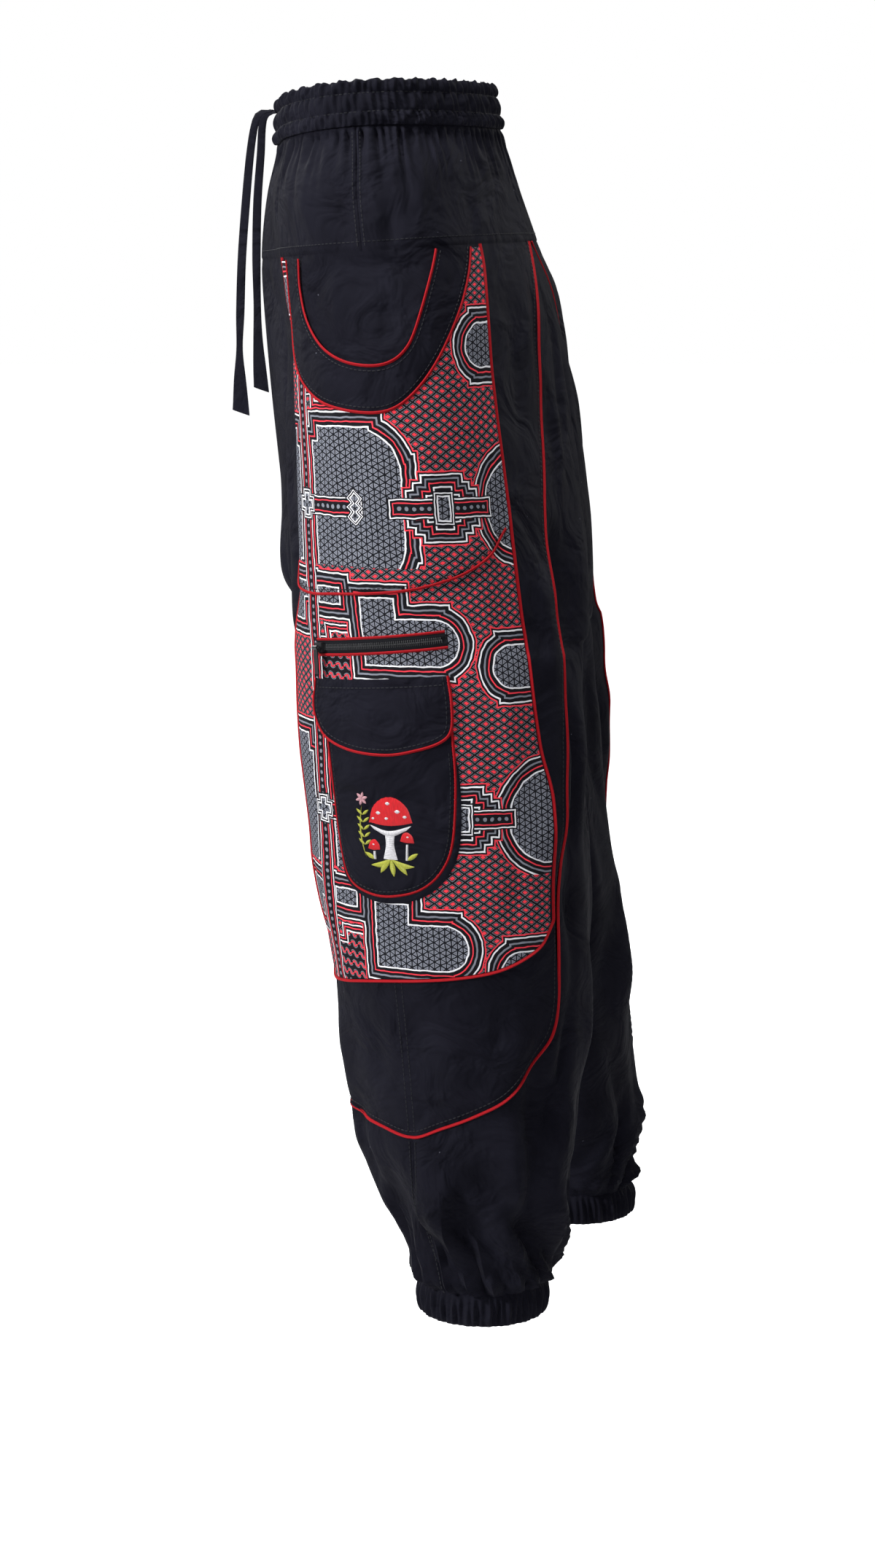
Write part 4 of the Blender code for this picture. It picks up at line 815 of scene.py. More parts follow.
def make_plain(name, colour, roughness, grain, strength, **settings):
    """A plain finish: grain is the size of its unevenness in millimetres, on Object coordinates."""
    tree, shader = new_material(name, Roughness=roughness, **settings)
    place = add(tree, "TexCoord", {}).outputs["Object"]
    noise = add(tree, "TexNoise", {"Vector": place, "Scale": 1000 / grain, "Detail": 3.0})
    shade(tree, shader, colour, noise, (0.78, 1.18), noise, strength)


def make_satin(name, colour):
    """Satin stitch: parallel threads across the shape, with a painted highlight along each thread's crown and
    painted shade between threads, over an uneven tone.
    """
    tree, shader = new_material(name, Roughness=0.42, Specular_IOR_Level=0.35)
    place = cut_place(tree)
    run = add(tree, "SeparateXYZ", {0: place})
    turns = add(tree, "Math", {0: run, 1: 2 * math.pi / 0.9}, operation="MULTIPLY")
    wave = add(tree, "Math", {0: turns}, operation="SINE")
    uneven = add(tree, "TexNoise", {"Vector": place, "Scale": 0.9, "Detail": 2.0})
    # painted highlight and shade: lighter where each thread's wave is high, darker between threads, plus an
    # uneven tone from noise
    crown = add(tree, "Math", {0: wave, 1: 0.25, 2: uneven}, operation="MULTIPLY_ADD")
    shade(tree, shader, colour, add(tree, "MapRange", {0: crown, 1: 0.25, 2: 0.85}), (0.6, 1.15), wave, 0.5)


def make_materials(colours):
    """Every finish: what it is made of, and what that gives the eye."""
    make_black_cotton(colours)
    make_print()
    # bias-cut cotton over cord: matt, its weave seen as a fine slant
    make_plain("red_piping_cotton", tuple(colours.piping), 0.7, 1.2, 0.5, Specular_IOR_Level=0.15)
    # spun polyester sewing thread: a dull gleam on each stitch
    make_plain("black_sewing_thread", linear("#191a1f"), 0.55, 0.8, 0.3, Specular_IOR_Level=0.2)
    # woven polyester tape: duller and flatter than the cloth round it
    make_plain("zip_tape_polyester", linear("#101115"), 0.8, 0.9, 0.6, Specular_IOR_Level=0.1)
    # moulded nylon coil: a soft shine along each turn
    make_plain("zip_coil_nylon", linear("#1f2023"), 0.36, 2.5, 0.1)
    # die-cast zinc with black enamel: smooth, with a broad highlight
    make_plain("black_enamelled_zinc", linear("#17181b"), 0.32, 4.0, 0.08, Coat_Weight=0.3,
               Coat_Roughness=0.25)
    # seamless studio paper: matt white, and as bright as the room where the camera sees it
    tree, paper = new_material("studio_paper", Base_Color=linear("#c8c8cb"), Roughness=0.95,
                               Specular_IOR_Level=0.1, Emission_Color=linear("#ffffff"))
    connect(tree, paper, {"Emission Strength": add(tree, "LightPath", {}).outputs["Is Camera Ray"]})
    # rayon thread in satin stitch: a bright gleam along threads that lie 0.4 mm apart, drawn 0.9 mm apart,
    # from the shine and from a highlight painted on each thread's crown
    for name, colour in (("red", colours.toadstool), ("pale", linear("#c9c8cc")), ("green", colours.leaves),
                         ("rose", linear("#b98a92"))):
        make_satin(f"{name}_embroidery_rayon", colour)


# ------------------------------------------------------------------ waist

# Rows of the casing between its stitching: top, bottom, pitch of the gathers
WAIST_ROWS = [(18.0, 8.0, 6.2), (8.0, -7.0, 7.0), (-7.0, -18.0, 5.4)]
# Flat width and length in metres: tubes of cloth cut a third longer than they are worn
WAIST_CUT, CUFF_CUT = (0.036, 0.86), (0.026, 0.44)
# Seeds of the yokes' gathers, for the left and the right half
YOKE_SEEDS = {"front": (5, 15), "back": (8, 18)}


def waist_ring(level, count):
    """Base points and outward normals right round the waist, evenly spaced, from the front middle."""
    worn = WORN["left"]
    arcs = np.linspace(worn.middle(level, "front"), worn.middle(level, "back"), count // 2 + 1)
    ring = []
    for vectors in (worn.at(arcs, level), worn.normal(arcs, level)):
        vectors[[0, -1], 0] = 0
        ring.append(np.concatenate([vectors, vectors[-2:0:-1] * MIRROR]))
    return ring[0], unit(ring[1])


def uneven_wave(places, length, pitch, seed, shift=0.0):
    """A sine wave along a length, whose waves are about a pitch long but uneven, by up to a third."""
    knots = max(int(length / pitch), 8)
    sample = np.linspace(0, length, 2000)
    rates = 1 + 0.35 * np.random.default_rng(seed).uniform(-1, 1, knots)
    phase = np.cumsum(np.interp(sample, np.linspace(0, length, knots), rates))
    turns = phase / phase[-1] * round(length / pitch) * 2 * np.pi
    return np.sin(np.interp(places, sample, turns) + shift)


def build_waistband():
    """Elastic casing: three rows puff out between their stitched channels, crossed by fine gathers.

    Height over the base is a half-sine puff in each row plus gathers, which are uneven waves round
    the ring, deepest in the middle of a row and pinched at the stitching. Above the top channel
    the same waves also lift and drop the edge, so that it is ruffled.
    """
    count, girth = 1100, 640
    profile = np.linspace(WAIST_TOP, WAIST_BOTTOM, 44)
    points, normals = (np.array(part) for part in zip(*(waist_ring(level, count) for level in profile)))
    around = np.linspace(0, girth, count, endpoint=False)[None, :]
    level = profile[:, None]
    height = np.zeros((len(profile), count))
    for k, (top, bottom, pitch) in enumerate(WAIST_ROWS):
        inside = (level <= top + 1e-6) & (level >= bottom - 1e-6)
        share = np.clip((top - level) / (top - bottom), 0, 1)
        puff = np.sin(np.pi * share) ** 0.7
        gather = (0.8 * uneven_wave(around, girth, pitch, 11 + k, 0.8 * np.sin(3 * share + k))
                  + 0.65 * uneven_wave(around, girth, pitch * 2.7, 31 + k, 1.6 * share))
        height = np.where(inside, 1.3 + (1.4 + gather) * puff + 0.35 * gather, height)
    ruffle = 0.8 * uneven_wave(around, girth, 17, 5) + 0.35 * uneven_wave(around, girth, 6.2, 6)
    rise = np.array([0, 0, 1]) * (smoothstep((level - 9) / 9) * ruffle)[..., None]
    lean = smoothstep((level - 10) / 8) * 0.9 * uneven_wave(around, girth, 9, 7)
    outer = points + normals * (height + lean)[..., None] + rise
    inner = points + normals * (lean - 0.2)[..., None] + rise
    roll = (outer[0] + inner[0]) / 2 + np.array([0, 0, 0.7])
    levels = np.concatenate([profile, profile[::-1], [WAIST_TOP + 1]])[:, None]
    closed_band("waistband_dressed", np.concatenate([outer, inner[::-1], roll[None]]),
                stacked(around, levels), "left", "waistband", WAIST_CUT)


def yoke_gathers(share, level, seed):
    """Gathers that start at the waistband and die away lower down, each with its own length and depth."""
    rng = np.random.default_rng(seed)
    count = 17
    centres = (np.arange(count) + 0.5 + rng.uniform(-0.3, 0.3, count)) / count
    ends = rng.choice([-44, -60, -78, -104], count, p=[0.3, 0.3, 0.25, 0.15]) + rng.uniform(-6, 6, count)
    total = np.zeros(np.broadcast(share, level).shape)
    for centre, end in zip(centres, ends):
        below = np.clip((WAIST_BOTTOM - level) / (WAIST_BOTTOM - end), 0, 1)
        across = share - centre - 0.006 * np.sin(6 * below + centre * 40)
        depth = 4.6 + rng.uniform(-1.6, 1.6)
        total = total - (1 - below) ** 1.1 * depth * bell(across, 0.008 + 0.027 * below)
    ridge = 1.5 * (1 - np.clip((WAIST_BOTTOM - level) / 60, 0, 1)) ** 1.5
    total = total + ridge * np.sin(share * count * 2 * np.pi + 2 * np.sin(share * 31))
    return total * (0.1 + 0.9 * smoothstep((WAIST_BOTTOM - level) / 7))


def build_yokes():
    """Front and back yoke: half rings with gathers below the waistband, tucked in behind both seams."""
    worn = WORN["left"]
    level = np.linspace(WAIST_BOTTOM + 6, YOKE_SEAM - 3, 44)[:, None]
    share = np.linspace(0.0006, 1, 190)[None, :]
    tuck = (-0.9 * (1 - smoothstep((WAIST_BOTTOM + 1 - level) / 4))
            - 1.2 * (1 - smoothstep((level - YOKE_SEAM + 1) / 3)))
    for which, seeds in YOKE_SEEDS.items():
        ends = worn.middle(level, which)
        halves = []
        for seed in seeds:
            lift = yoke_gathers(share, level, seed) + tuck
            half = worn.lifted(ends * share, level, lift + edge_dip(lift, 1.4, 0.7, (0, 0, 1, 0)))
            half[:, -1, 0] = 0
            halves.append(half)
        outer = np.concatenate([halves[0], halves[1][:, -2::-1] * MIRROR], axis=1)
        arcs = np.concatenate([ends * share, (ends * (2 - share))[:, -2::-1]], axis=1)
        places = stacked(arcs, level)
        if which == "front":
            outer, places = outer[:, ::-1], places[:, ::-1]
        shell(f"yoke_{which}_dressed", outer, places, held="gathered", rests_on=("waistband",),
              stands_for=f"yoke_{which}")


# ------------------------------------------------------------------ side panel and legs

# Centres and half sizes, as (arc, level), of the round pocket's bag and of the cargo pocket's dome
POCKET_BAG = ((-4, -128), (58, 74))
CARGO_DOME = ((-2, -548), (56, 75))


def oval_squares(arc, level, oval):
    """Squares of the distances across and down from an oval's centre, as shares of its half sizes."""
    (middle_arc, middle_level), (half_arc, half_level) = oval
    return ((arc - middle_arc) / half_arc) ** 2, ((level - middle_level) / half_level) ** 2


def panel_grid(rows, cols, hem, back_edge, top, inset):
    """Arcs and levels from a top level to a curved hem, between the front edge and a back edge.

    A column's arc is a share of the way between the two edges at its level, and over its last
    quarter it turns to the hem's own arc.
    """
    hem = curve(hem, cols)
    share = np.linspace(0, 1, cols)[None, :]
    down = np.linspace(0, 1, rows)[:, None]
    levels = top + (hem[None, :, 1] - top) * down
    front = read_table(FRONT_EDGE, 1, levels) + inset
    back = read_table(back_edge, 1, levels) - inset
    arcs = front + (back - front) * share
    turn = smoothstep((down - 0.72) / 0.28)
    return arcs * (1 - turn) + hem[None, :, 0] * turn, levels


def build_side_panel(side):
    """Side panel, from the yoke to its curved hem, sunk and creased inside the round pocket's mouth."""
    arcs, levels = panel_grid(170, 66, PANEL_HEM, BACK_EDGE, YOKE_SEAM - 0.1, 0.1)
    across, down = oval_squares(arcs, levels, POCKET_BAG)
    inside = np.clip(1 - across - down, 0, 1) * smoothstep((YOKE_SEAM - levels) / 14)
    bag = -2.6 * smoothstep(inside * 2.2) - 1.3 * bell(arcs + 3 + 0.1 * (levels + 150), 3) * inside
    cloth("side_panel", side, arcs, levels, PANEL_LIFT + edge_dip(arcs, 1.2, 0.6) + bag, "outer_panel",
          rests_on=("yoke_front", "yoke_back"))


def build_print_panel(side):
    """Printed overlay on the side panel; it starts out of sight behind the round pocket's patch."""
    arcs, levels = panel_grid(110, 62, PRINT_HEM, PRINT_BACK, PRINT_TOP, 0.4)
    cloth("print_overlay", side, arcs, levels, PRINT_LIFT + edge_dip(arcs, 1.0, 0.35), "print_panel",
          material="printed_cotton", thickness=0.4, held="laid", rests_on=(f"side_panel_{side}",))


def build_legs(side):
    """Front and back of the leg: rows run from the rise or inseam to the side panel and the side seam.

    Row k joins the points at the same share of both edges' lengths, and places between them are
    straight in arc and level.
    """
    worn = WORN[side]
    rows = 250
    front, hem, back = panel_outline()
    seam_row = int(np.argmin(hem[:, 1]))
    side_seam = stacked(0.0, np.linspace(SIDE_SEAM_TOP, CUFF_TOP + 0.1, 40))[1:]
    for which, runs, gap, sides in (
            ("front", (front, hem[1:seam_row + 1], side_seam), -0.15, (1, 1, 0, 1)),
            ("back", (back[::-1], hem[seam_row:-1][::-1], side_seam), 0.15, (1, 1, 1, 0))):
        outer_edge = even(np.concatenate(runs) + (gap, 0), rows)
        levels = np.linspace(YOKE_SEAM - 0.1, CUFF_TOP + 0.1, 1600)
        lengths = run_lengths(worn.at(worn.middle(levels, which), levels))
        levels = np.interp(np.linspace(0, lengths[-1], rows), lengths, levels)
        inner_edge = stacked(worn.middle(levels, which), levels)
        arcs, levels = (grid.T for grid in between(inner_edge, outer_edge, np.linspace(0, 1, 54)))
        if which == "back":
            arcs, levels = arcs[:, ::-1], levels[:, ::-1]
        cloth(f"leg_{which}_dressed", side, arcs, levels, edge_dip(arcs, 1.3, 0.8, sides),
              rests_on=(f"yoke_{which}",))


# ------------------------------------------------------------------ pockets

def build_round_pocket(side):
    """Black band between the mouth and the pocket's edge, and the printed patch below it.

    Each is a grid of straight lines on the cloth, from its upper outline to its lower one.
    """
    mouth, edge = curve(POCKET_MOUTH, 90), curve(POCKET_EDGE, 90)
    on_panel = {"held": "laid", "rests_on": (f"side_panel_{side}",)}
    arcs, levels = between(sideways(mouth, -1.2), sideways(edge, 1.2), np.linspace(0, 1, 14))
    cloth("pocket_band_dressed", side, arcs, levels, BAND_LIFT + edge_dip(arcs, 1.0, 0.5, (1, 1, 0, 0)),
          **on_panel)
    top, inset = POCKET_EDGE[0][1], 0.8
    around = np.concatenate([edge_path(FRONT_EDGE, top, POCKET_HEM[0][1], 50, inset),
                             sideways(curve(POCKET_HEM, 90), 1.2)[2:-2],
                             edge_path(PRINT_BACK, POCKET_HEM[-1][1], top, 50, -inset)])
    upper = sideways(curve(POCKET_EDGE, 150), -1.2)
    arcs, levels = between(upper, even(around, 150), np.linspace(0, 1, 34))
    cloth("pocket_patch_dressed", side, arcs, levels, PATCH_LIFT + edge_dip(arcs, 1.0, 0.4),
          material="printed_cotton", thickness=0.4, **on_panel)


# The part of the cargo pocket's outline, sampled at 140 points, along which a black strip stands for the
# pocket's painted shadow on the print
PAINTED_SHADOW_RUN = slice(46, 128)


def cargo_lift(arc, level):
    """The cargo pocket's outside: a low dome, with a slanting crease in its lower half."""
    across, down = (np.clip(1 - part, 0, 1) ** 0.7 for part in oval_squares(arc, level, CARGO_DOME))
    crease = bell(arc + 18 + 0.15 * (level + 540), 5) * smoothstep((-level - 530) / 30)
    return CARGO_LIFT + (2.6 - 0.9 * crease) * (across * down)


def flap_lift(arc, level):
    """The flap's outside: it rises from its sewn top edge over the pocket and stays level."""
    (start, start_level), (end, end_level) = FLAP_OUTLINE[0], FLAP_OUTLINE[-1]
    depth = np.interp(arc, (start, end), (start_level, end_level)) - level
    sewn = CARGO_LIFT - 0.6
    return sewn + (FLAP_LIFT - CARGO_LIFT + 0.6) * smoothstep(depth / 26) + 0.5 * bell(depth - 3, 2.5)


def build_cargo_pocket(side):
    """Cargo pocket, a black strip along its front foot that stands for the pocket's painted shadow on the
    print, and the flap that falls over its mouth.

    The pocket and the flap are grids of straight lines from a top edge to an outline. The black strip
    of painted shadow goes outwards from the pocket's outline, and down to the print by the square of its
    share.
    """
    # a black strip past the piping stands for the pocket's painted shadow on the print, widest at the back
    # lower corner
    foot = curve(CARGO_OUTLINE, 140)[PAINTED_SHADOW_RUN]
    wide = 1.4 + 5.0 * np.sin(np.linspace(0, np.pi, len(foot)))[:, None] ** 0.7
    outward = foot - sideways(foot, 1.0)
    shares = np.linspace(0, 1, 7)
    arcs, levels = between(foot + outward * 0.9, foot + outward * wide, shares)
    drop = CARGO_LIFT + 0.4 - (CARGO_LIFT - PRINT_LIFT - 0.2) * shares[:, None] ** 2
    painted_shadow = cloth("cargo_painted_shadow", side, arcs, levels, drop, thickness=0.4, held=None)
    on_print = (f"print_overlay_{side}",)
    rim = sideways(curve(CARGO_OUTLINE, 80), 1.4)
    top = np.linspace(rim[0], rim[-1], 80) + (0, 2.0)
    arcs, levels = between(top, rim, np.linspace(0, 1, 40))
    cloth("cargo_pocket_dressed", side, arcs, levels, cargo_lift(arcs, levels) + edge_dip(arcs, 1.0, 0.4),
          held="laid", rests_on=on_print, with_pieces=[painted_shadow])
    outline = curve(FLAP_OUTLINE, 80)
    top = np.linspace(outline[0] + (1, 0), outline[-1] - (1, 0), 80)
    arcs, levels = between(top, sideways(outline, 1.3), np.linspace(0, 1, 26))
    cloth("cargo_flap_dressed", side, arcs, levels, flap_lift(arcs, levels), thickness=1.0, rests_on=on_print)


# ------------------------------------------------------------------ zip

TAPE_WIDTH = 10.8
# The direction from one row of teeth to the other, across the zip
ACROSS_ZIP = np.array([-0.103, 0.995])
# Shares of the zip's length that the slider takes at its front and the stop at its back
COIL_START, COIL_STOP = 0.0675, 0.02


def build_zip(side):
    """Zip: a woven tape in two halves, its coil, and the slider and pull in black enamel.

    The tape is a strip with a ridge over each half's cord. The coil is two rows of small bars
    across the tape, a pitch apart and half a pitch from each other.
    """
    worn = WORN[side]
    line = np.linspace(ZIP_LEFT, ZIP_RIGHT, 120)
    shares = np.linspace(0, 1, 15)
    arcs, levels = between(sideways(line, TAPE_WIDTH / 2), sideways(line, -TAPE_WIDTH / 2), shares)
    across = (shares[:, None] - 0.5) * TAPE_WIDTH
    ridge = 0.5 * bell(np.abs(across) - 2.9, 0.7) - 0.5 * bell(across, 1.2)
    cloth("zip_tape_dressed", side, arcs, levels, TAPE_LIFT + ridge, material="zip_tape_polyester",
          thickness=0.5, held="laid", rests_on=(f"side_panel_{side}",))
    pitch = bpy.context.scene.pants_sizes.coil_pitch / MM
    length = line_length(line)
    count = int(length * (1 - COIL_START - COIL_STOP) / pitch)
    share = COIL_START + np.arange(count) * pitch / length
    places = np.concatenate([
        np.array(ZIP_LEFT) + (share + shift * pitch / length)[:, None] * np.subtract(ZIP_RIGHT, ZIP_LEFT)
        + ACROSS_ZIP * offset for shift, offset in ((0, 1.0), (0.5, -1.0))])
    centres = worn.lifted(*places.T, TAPE_LIFT + 0.3)
    ends = worn.lifted(*(places + (0, 1)).T, TAPE_LIFT + 0.3)
    dashes(f"zip_coil_{side}", centres, ends - centres, worn.normal(*places.T), (3.0, pitch * 0.62, 1.1),
           "zip_coil_nylon", side)
    for node in (f"zip_slider_{side}", f"zip_pull_{side}"):
        for place in bpy.data.objects[node].material_slots:
            place.material = MATERIALS["black_enamelled_zinc"]


# ------------------------------------------------------------------ piping

def piping(node, side, path, lift):
    """Covered cord: a round bead with a flat seam allowance beside it, so that it reads as two ridges.

    Points are the path's, plus the profile's first number across and its second one outwards.
    """
    worn = WORN[side]
    points = stop_at_middle(worn.lifted(*path.T, lift))
    along = unit(np.gradient(points, axis=0))
    across = unit(np.cross(worn.normal(*path.T), along))
    out = np.cross(along, across)
    turn = np.linspace(-0.6 * np.pi, 0.9 * np.pi, 8)
    bead = stacked(0.4 + 1.0 * np.cos(turn), 0.95 + 1.0 * np.sin(turn))
    profile = np.concatenate([bead, [(-0.7, 0.95), (-1.0, 1.1), (-1.35, 0.8), (-1.4, -0.2)]])
    profile = profile * (bpy.context.scene.pants_sizes.piping_width / PROFILE_WIDTH)
    rings = points[:, None] + across[:, None] * profile[:, :1] + out[:, None] * profile[:, 1:]
    tube(f"{node.replace('_piping', '')}_cord_{side}", rings, "red_piping_cotton", side,
         stands_for=f"{node}_{side}")


def build_pipings(side):
    """Every run of piping on one leg."""
    zip_line = np.linspace(ZIP_LEFT, ZIP_RIGHT, 60)
    flap = curve(FLAP_OUTLINE, 100)
    print_round = np.concatenate([edge_path(PRINT_BACK, YOKE_SEAM - 0.5, PRINT_REAR, 130, 1.6),
                                  (curve(PRINT_HEM, 60) - (0, 1.8))[::-1][2:-2],
                                  edge_path(FRONT_EDGE, PRINT_FRONT, YOKE_SEAM - 0.5, 130, 0.2)])
    for node, path, lift in (
            ("pocket_mouth_piping", curve(POCKET_MOUTH, 90), BAND_LIFT - 0.8),
            ("pocket_edge_piping", curve(POCKET_EDGE, 90), BAND_LIFT - 0.9),
            ("pocket_hem_piping", curve(POCKET_HEM, 110), PATCH_LIFT - 0.1),
            ("zip_piping_upper", sideways(zip_line, 6.2), TAPE_LIFT - 0.8),
            ("zip_piping_lower", sideways(zip_line, -6.2), TAPE_LIFT - 0.8),
            ("cargo_piping", curve(CARGO_OUTLINE, 120), CARGO_LIFT - 0.8),
            ("flap_piping", flap, flap_lift(*flap.T) - 0.6),
            ("print_piping", even(print_round, 360), 0.1),
            ("panel_piping", panel_back_seam(240), -0.6)):
        piping(node, side, path, lift)


# ------------------------------------------------------------------ topstitching

def sew(name, lines, width, height, side="left"):
    """Stitches along lines of points and normals: each stitch a small rounded bar half sunk in the cloth."""
    sizes = bpy.context.scene.pants_sizes
    pitch = (sizes.stitch_length + sizes.stitch_gap) / MM
    found = []
    for points, out in lines:
        line = even(np.hstack([points, out]), max(int(line_length(points) / pitch), 2) * 2 + 1)
        found.append((line[1::2, :3], line[2::2, :3] - line[:-1:2, :3], line[1::2, 3:]))
    centres, along, out = (np.concatenate(part) for part in zip(*found))
    size = (sizes.stitch_length / MM, width, height)
    dashes(name, centres, along, out, size, "black_sewing_thread", side)


def stitch_rows():
    """Each topstitched row of a leg as (path of (arc, level), lift)."""
    cargo = sideways(curve(CARGO_OUTLINE, 200), 4.0)
    cargo = cargo[cargo[:, 1] < -500]
    flap = sideways(curve(FLAP_OUTLINE, 140), 4.2)
    flap_top = np.linspace((-66, -456.5), (46, -448), 80)
    rows = [(sideways(curve(POCKET_MOUTH, 90), -4.0), BAND_LIFT),
            (sideways(curve(POCKET_EDGE, 90), 4.0), BAND_LIFT),
            (sideways(curve(POCKET_HEM, 120), 3.4), PATCH_LIFT), (cargo, cargo_lift(*cargo.T)),
            (flap, flap_lift(*flap.T)), (flap_top, flap_lift(*flap_top.T)),
            (sideways(panel_back_seam(300), -5.0), PANEL_LIFT)]
    return rows + [(stacked(arc, np.linspace(top, bottom, 120)), lift)
                   for arc in (-SEAM_STITCH, SEAM_STITCH) for top, bottom, lift in SEAM_RUNS]


def build_stitching(side):
    """Topstitching of one leg and of its half of the yokes."""
    worn, raised = WORN[side], 0.12
    lines = [(worn.lifted(*path.T, lift + raised), worn.normal(*path.T)) for path, lift in stitch_rows()]
    worn = WORN["left"]
    for which, sign in (("front", -1), ("back", 1)):
        seed = YOKE_SEEDS[which][SIDES.index(side)]
        seam, down = np.full(300, YOKE_SEAM + 7.0), np.linspace(WAIST_BOTTOM - 4, YOKE_SEAM + 3, 60)
        for arcs, level in ((worn.middle(seam, which) * np.linspace(0.004, 0.997, 300), seam),
                            (np.full(60, sign * SEAM_STITCH), down)):
            gathers = yoke_gathers(arcs / worn.middle(level, which), level, seed)
            lines.append((worn.lifted(arcs, level, gathers + raised), worn.normal(arcs, level)))
    sew(f"topstitching_{side}", lines, 0.75, 0.7, side)


def build_waist_stitching():
    """The stitching that divides the waist's casing into rows."""
    lines = []
    for top, _, _ in WAIST_ROWS[1:]:
        points, normals = (np.vstack([part, part[:1]]) for part in waist_ring(top, 800))
        lines.append((points + normals * 1.35, normals))
    sew("waist_stitching", lines, 0.8, 0.8)


# ------------------------------------------------------------------ embroidery

def leaf(base, tip, width, bend=0.0):
    """A leaf's two edges, from base to tip: a straight or bent rib with half a sine of width on each side."""
    base, tip = np.array(base, float), np.array(tip, float)
    share = np.linspace(0, 1, 16)[:, None]
    side = np.array([base[1] - tip[1], tip[0] - base[0]]) / np.linalg.norm(tip - base)
    rib = base + (tip - base) * share + side * bend * np.sin(np.pi * share)
    spread = side * width / 2 * np.sin(np.pi * share) ** 0.8
    return rib + spread, rib - spread


def spot(arc, level, size):
    """A spot's two edges: a level leaf, almost as wide as it is long."""
    return leaf((arc - size, level), (arc + size, level), size * 1.6)


# Toadstool, two small ones beside it, spots, leaves and a sprig: pairs of edges, by thread
CAPS = [([(-18, -559), (-15, -546), (-6, -537), (5, -536), (15, -544), (19, -557)],
         [(-18, -560), (-9, -562), (1, -563), (11, -561), (19, -558)]),
        ([(-19, -580), (-17, -574), (-13, -572), (-9, -576), (-8.5, -580)],
         [(-19, -581), (-14, -582.5), (-8.5, -581)]),
        ([(9, -572), (11, -566), (15, -564.5), (19, -568), (20, -573)],
         [(9, -573), (14, -574.5), (20, -574)])]
PALE = [([(-17, -561.5), (0, -565), (18, -560)], [(-13, -565), (1, -569.5), (14, -564)]),
        ([(-3.5, -568), (-3, -577), (-5.5, -588)], [(4.5, -568), (4, -577), (6.5, -588)]),
        ([(-14.6, -582.5), (-14.4, -589)], [(-12.6, -582.5), (-12.2, -589)]),
        ([(13.6, -575), (13, -588)], [(15.4, -575), (15.2, -588)]),
        *(spot(*place) for place in (
            (-9, -551, 2.2), (-1, -543, 2.0), (7, -549, 2.4), (-2, -555, 1.7), (13, -553, 1.8),
            (-14, -556, 1.4), (-14, -577, 1.1), (15, -569, 1.1)))]
GREEN = [leaf(*shape) for shape in (
    ((0, -588), (-17, -594), 5, 2), ((1, -588), (-9, -600), 5.5, -1), ((1, -588), (3, -602), 5),
    ((2, -588), (14, -600), 5.5, 1), ((1, -588), (20, -593), 5, -2), ((-13, -589), (-22, -584), 4),
    ((14, -588), (23, -582), 4), ((-21, -588), (-24, -546), 1.6, 3))]
GREEN += [leaf((-21.5 - 0.07 * k, -584 + k), (-21.5 - 0.07 * k + turn * 5.5, -579.5 + k), 2.6)
          for k in range(6, 36, 6) for turn in (-1, 1)]
PETALS = [leaf((-24, -541), (-24 + 5.6 * math.cos(turn), -541 + 5.6 * math.sin(turn)), 2.8)
          for turn in np.arange(6) * math.pi / 3 + 0.3]
# Group, thread, shapes, and how far it stands above the first group
EMBROIDERY = [("caps", "red", CAPS, 0.0), ("pale", "pale", PALE, 0.35), ("leaves", "green", GREEN, 0.1),
              ("petals", "rose", PETALS, 0.2)]


def build_embroidery(side):
    """Satin stitch on the cargo pocket: each shape is filled from edge to edge, highest in its middle."""
    worn = WORN[side]
    rows, cols = 9, 16
    shares = np.linspace(0, 1, rows)
    crown = (np.sin(np.pi * shares) ** 0.6)[:, None] * np.sin(np.pi * np.linspace(0.03, 0.97, cols)) ** 0.4
    for name, thread, shapes, rise in EMBROIDERY:
        points, uv, faces = [], [], []
        for n, edges in enumerate(shapes):
            first, second = (even(edge if len(edge) == cols else curve(edge, cols), cols) for edge in edges)
            arcs, levels = between(first, second, shares)
            grid = worn.lifted(arcs, levels, cargo_lift(arcs, levels) + rise - 0.35 + 0.95 * crown)
            run = run_lengths(worn.at(*first.T))
            points.append(grid)
            uv.append(stacked(run[None, :] + 7 * n, shares[:, None] * 5))
            patch = grid_faces(rows, cols)
            normal = np.cross(grid[1, 8] - grid[0, 8], grid[4, 9] - grid[4, 8])
            if normal @ worn.normal(arcs[4, 8], levels[4, 8]) < 0:
                patch = patch[:, ::-1]
            faces.append(patch + rows * cols * n)
        new_piece(f"embroidery_{name}_{side}", np.concatenate(points), np.concatenate(faces),
                  f"{thread}_embroidery_rayon", side, uv=np.concatenate(uv))


# ------------------------------------------------------------------ cuffs and drawstring

# Gathers round a cuff
FINE_GATHERS, BROAD_GATHERS = 58, 21


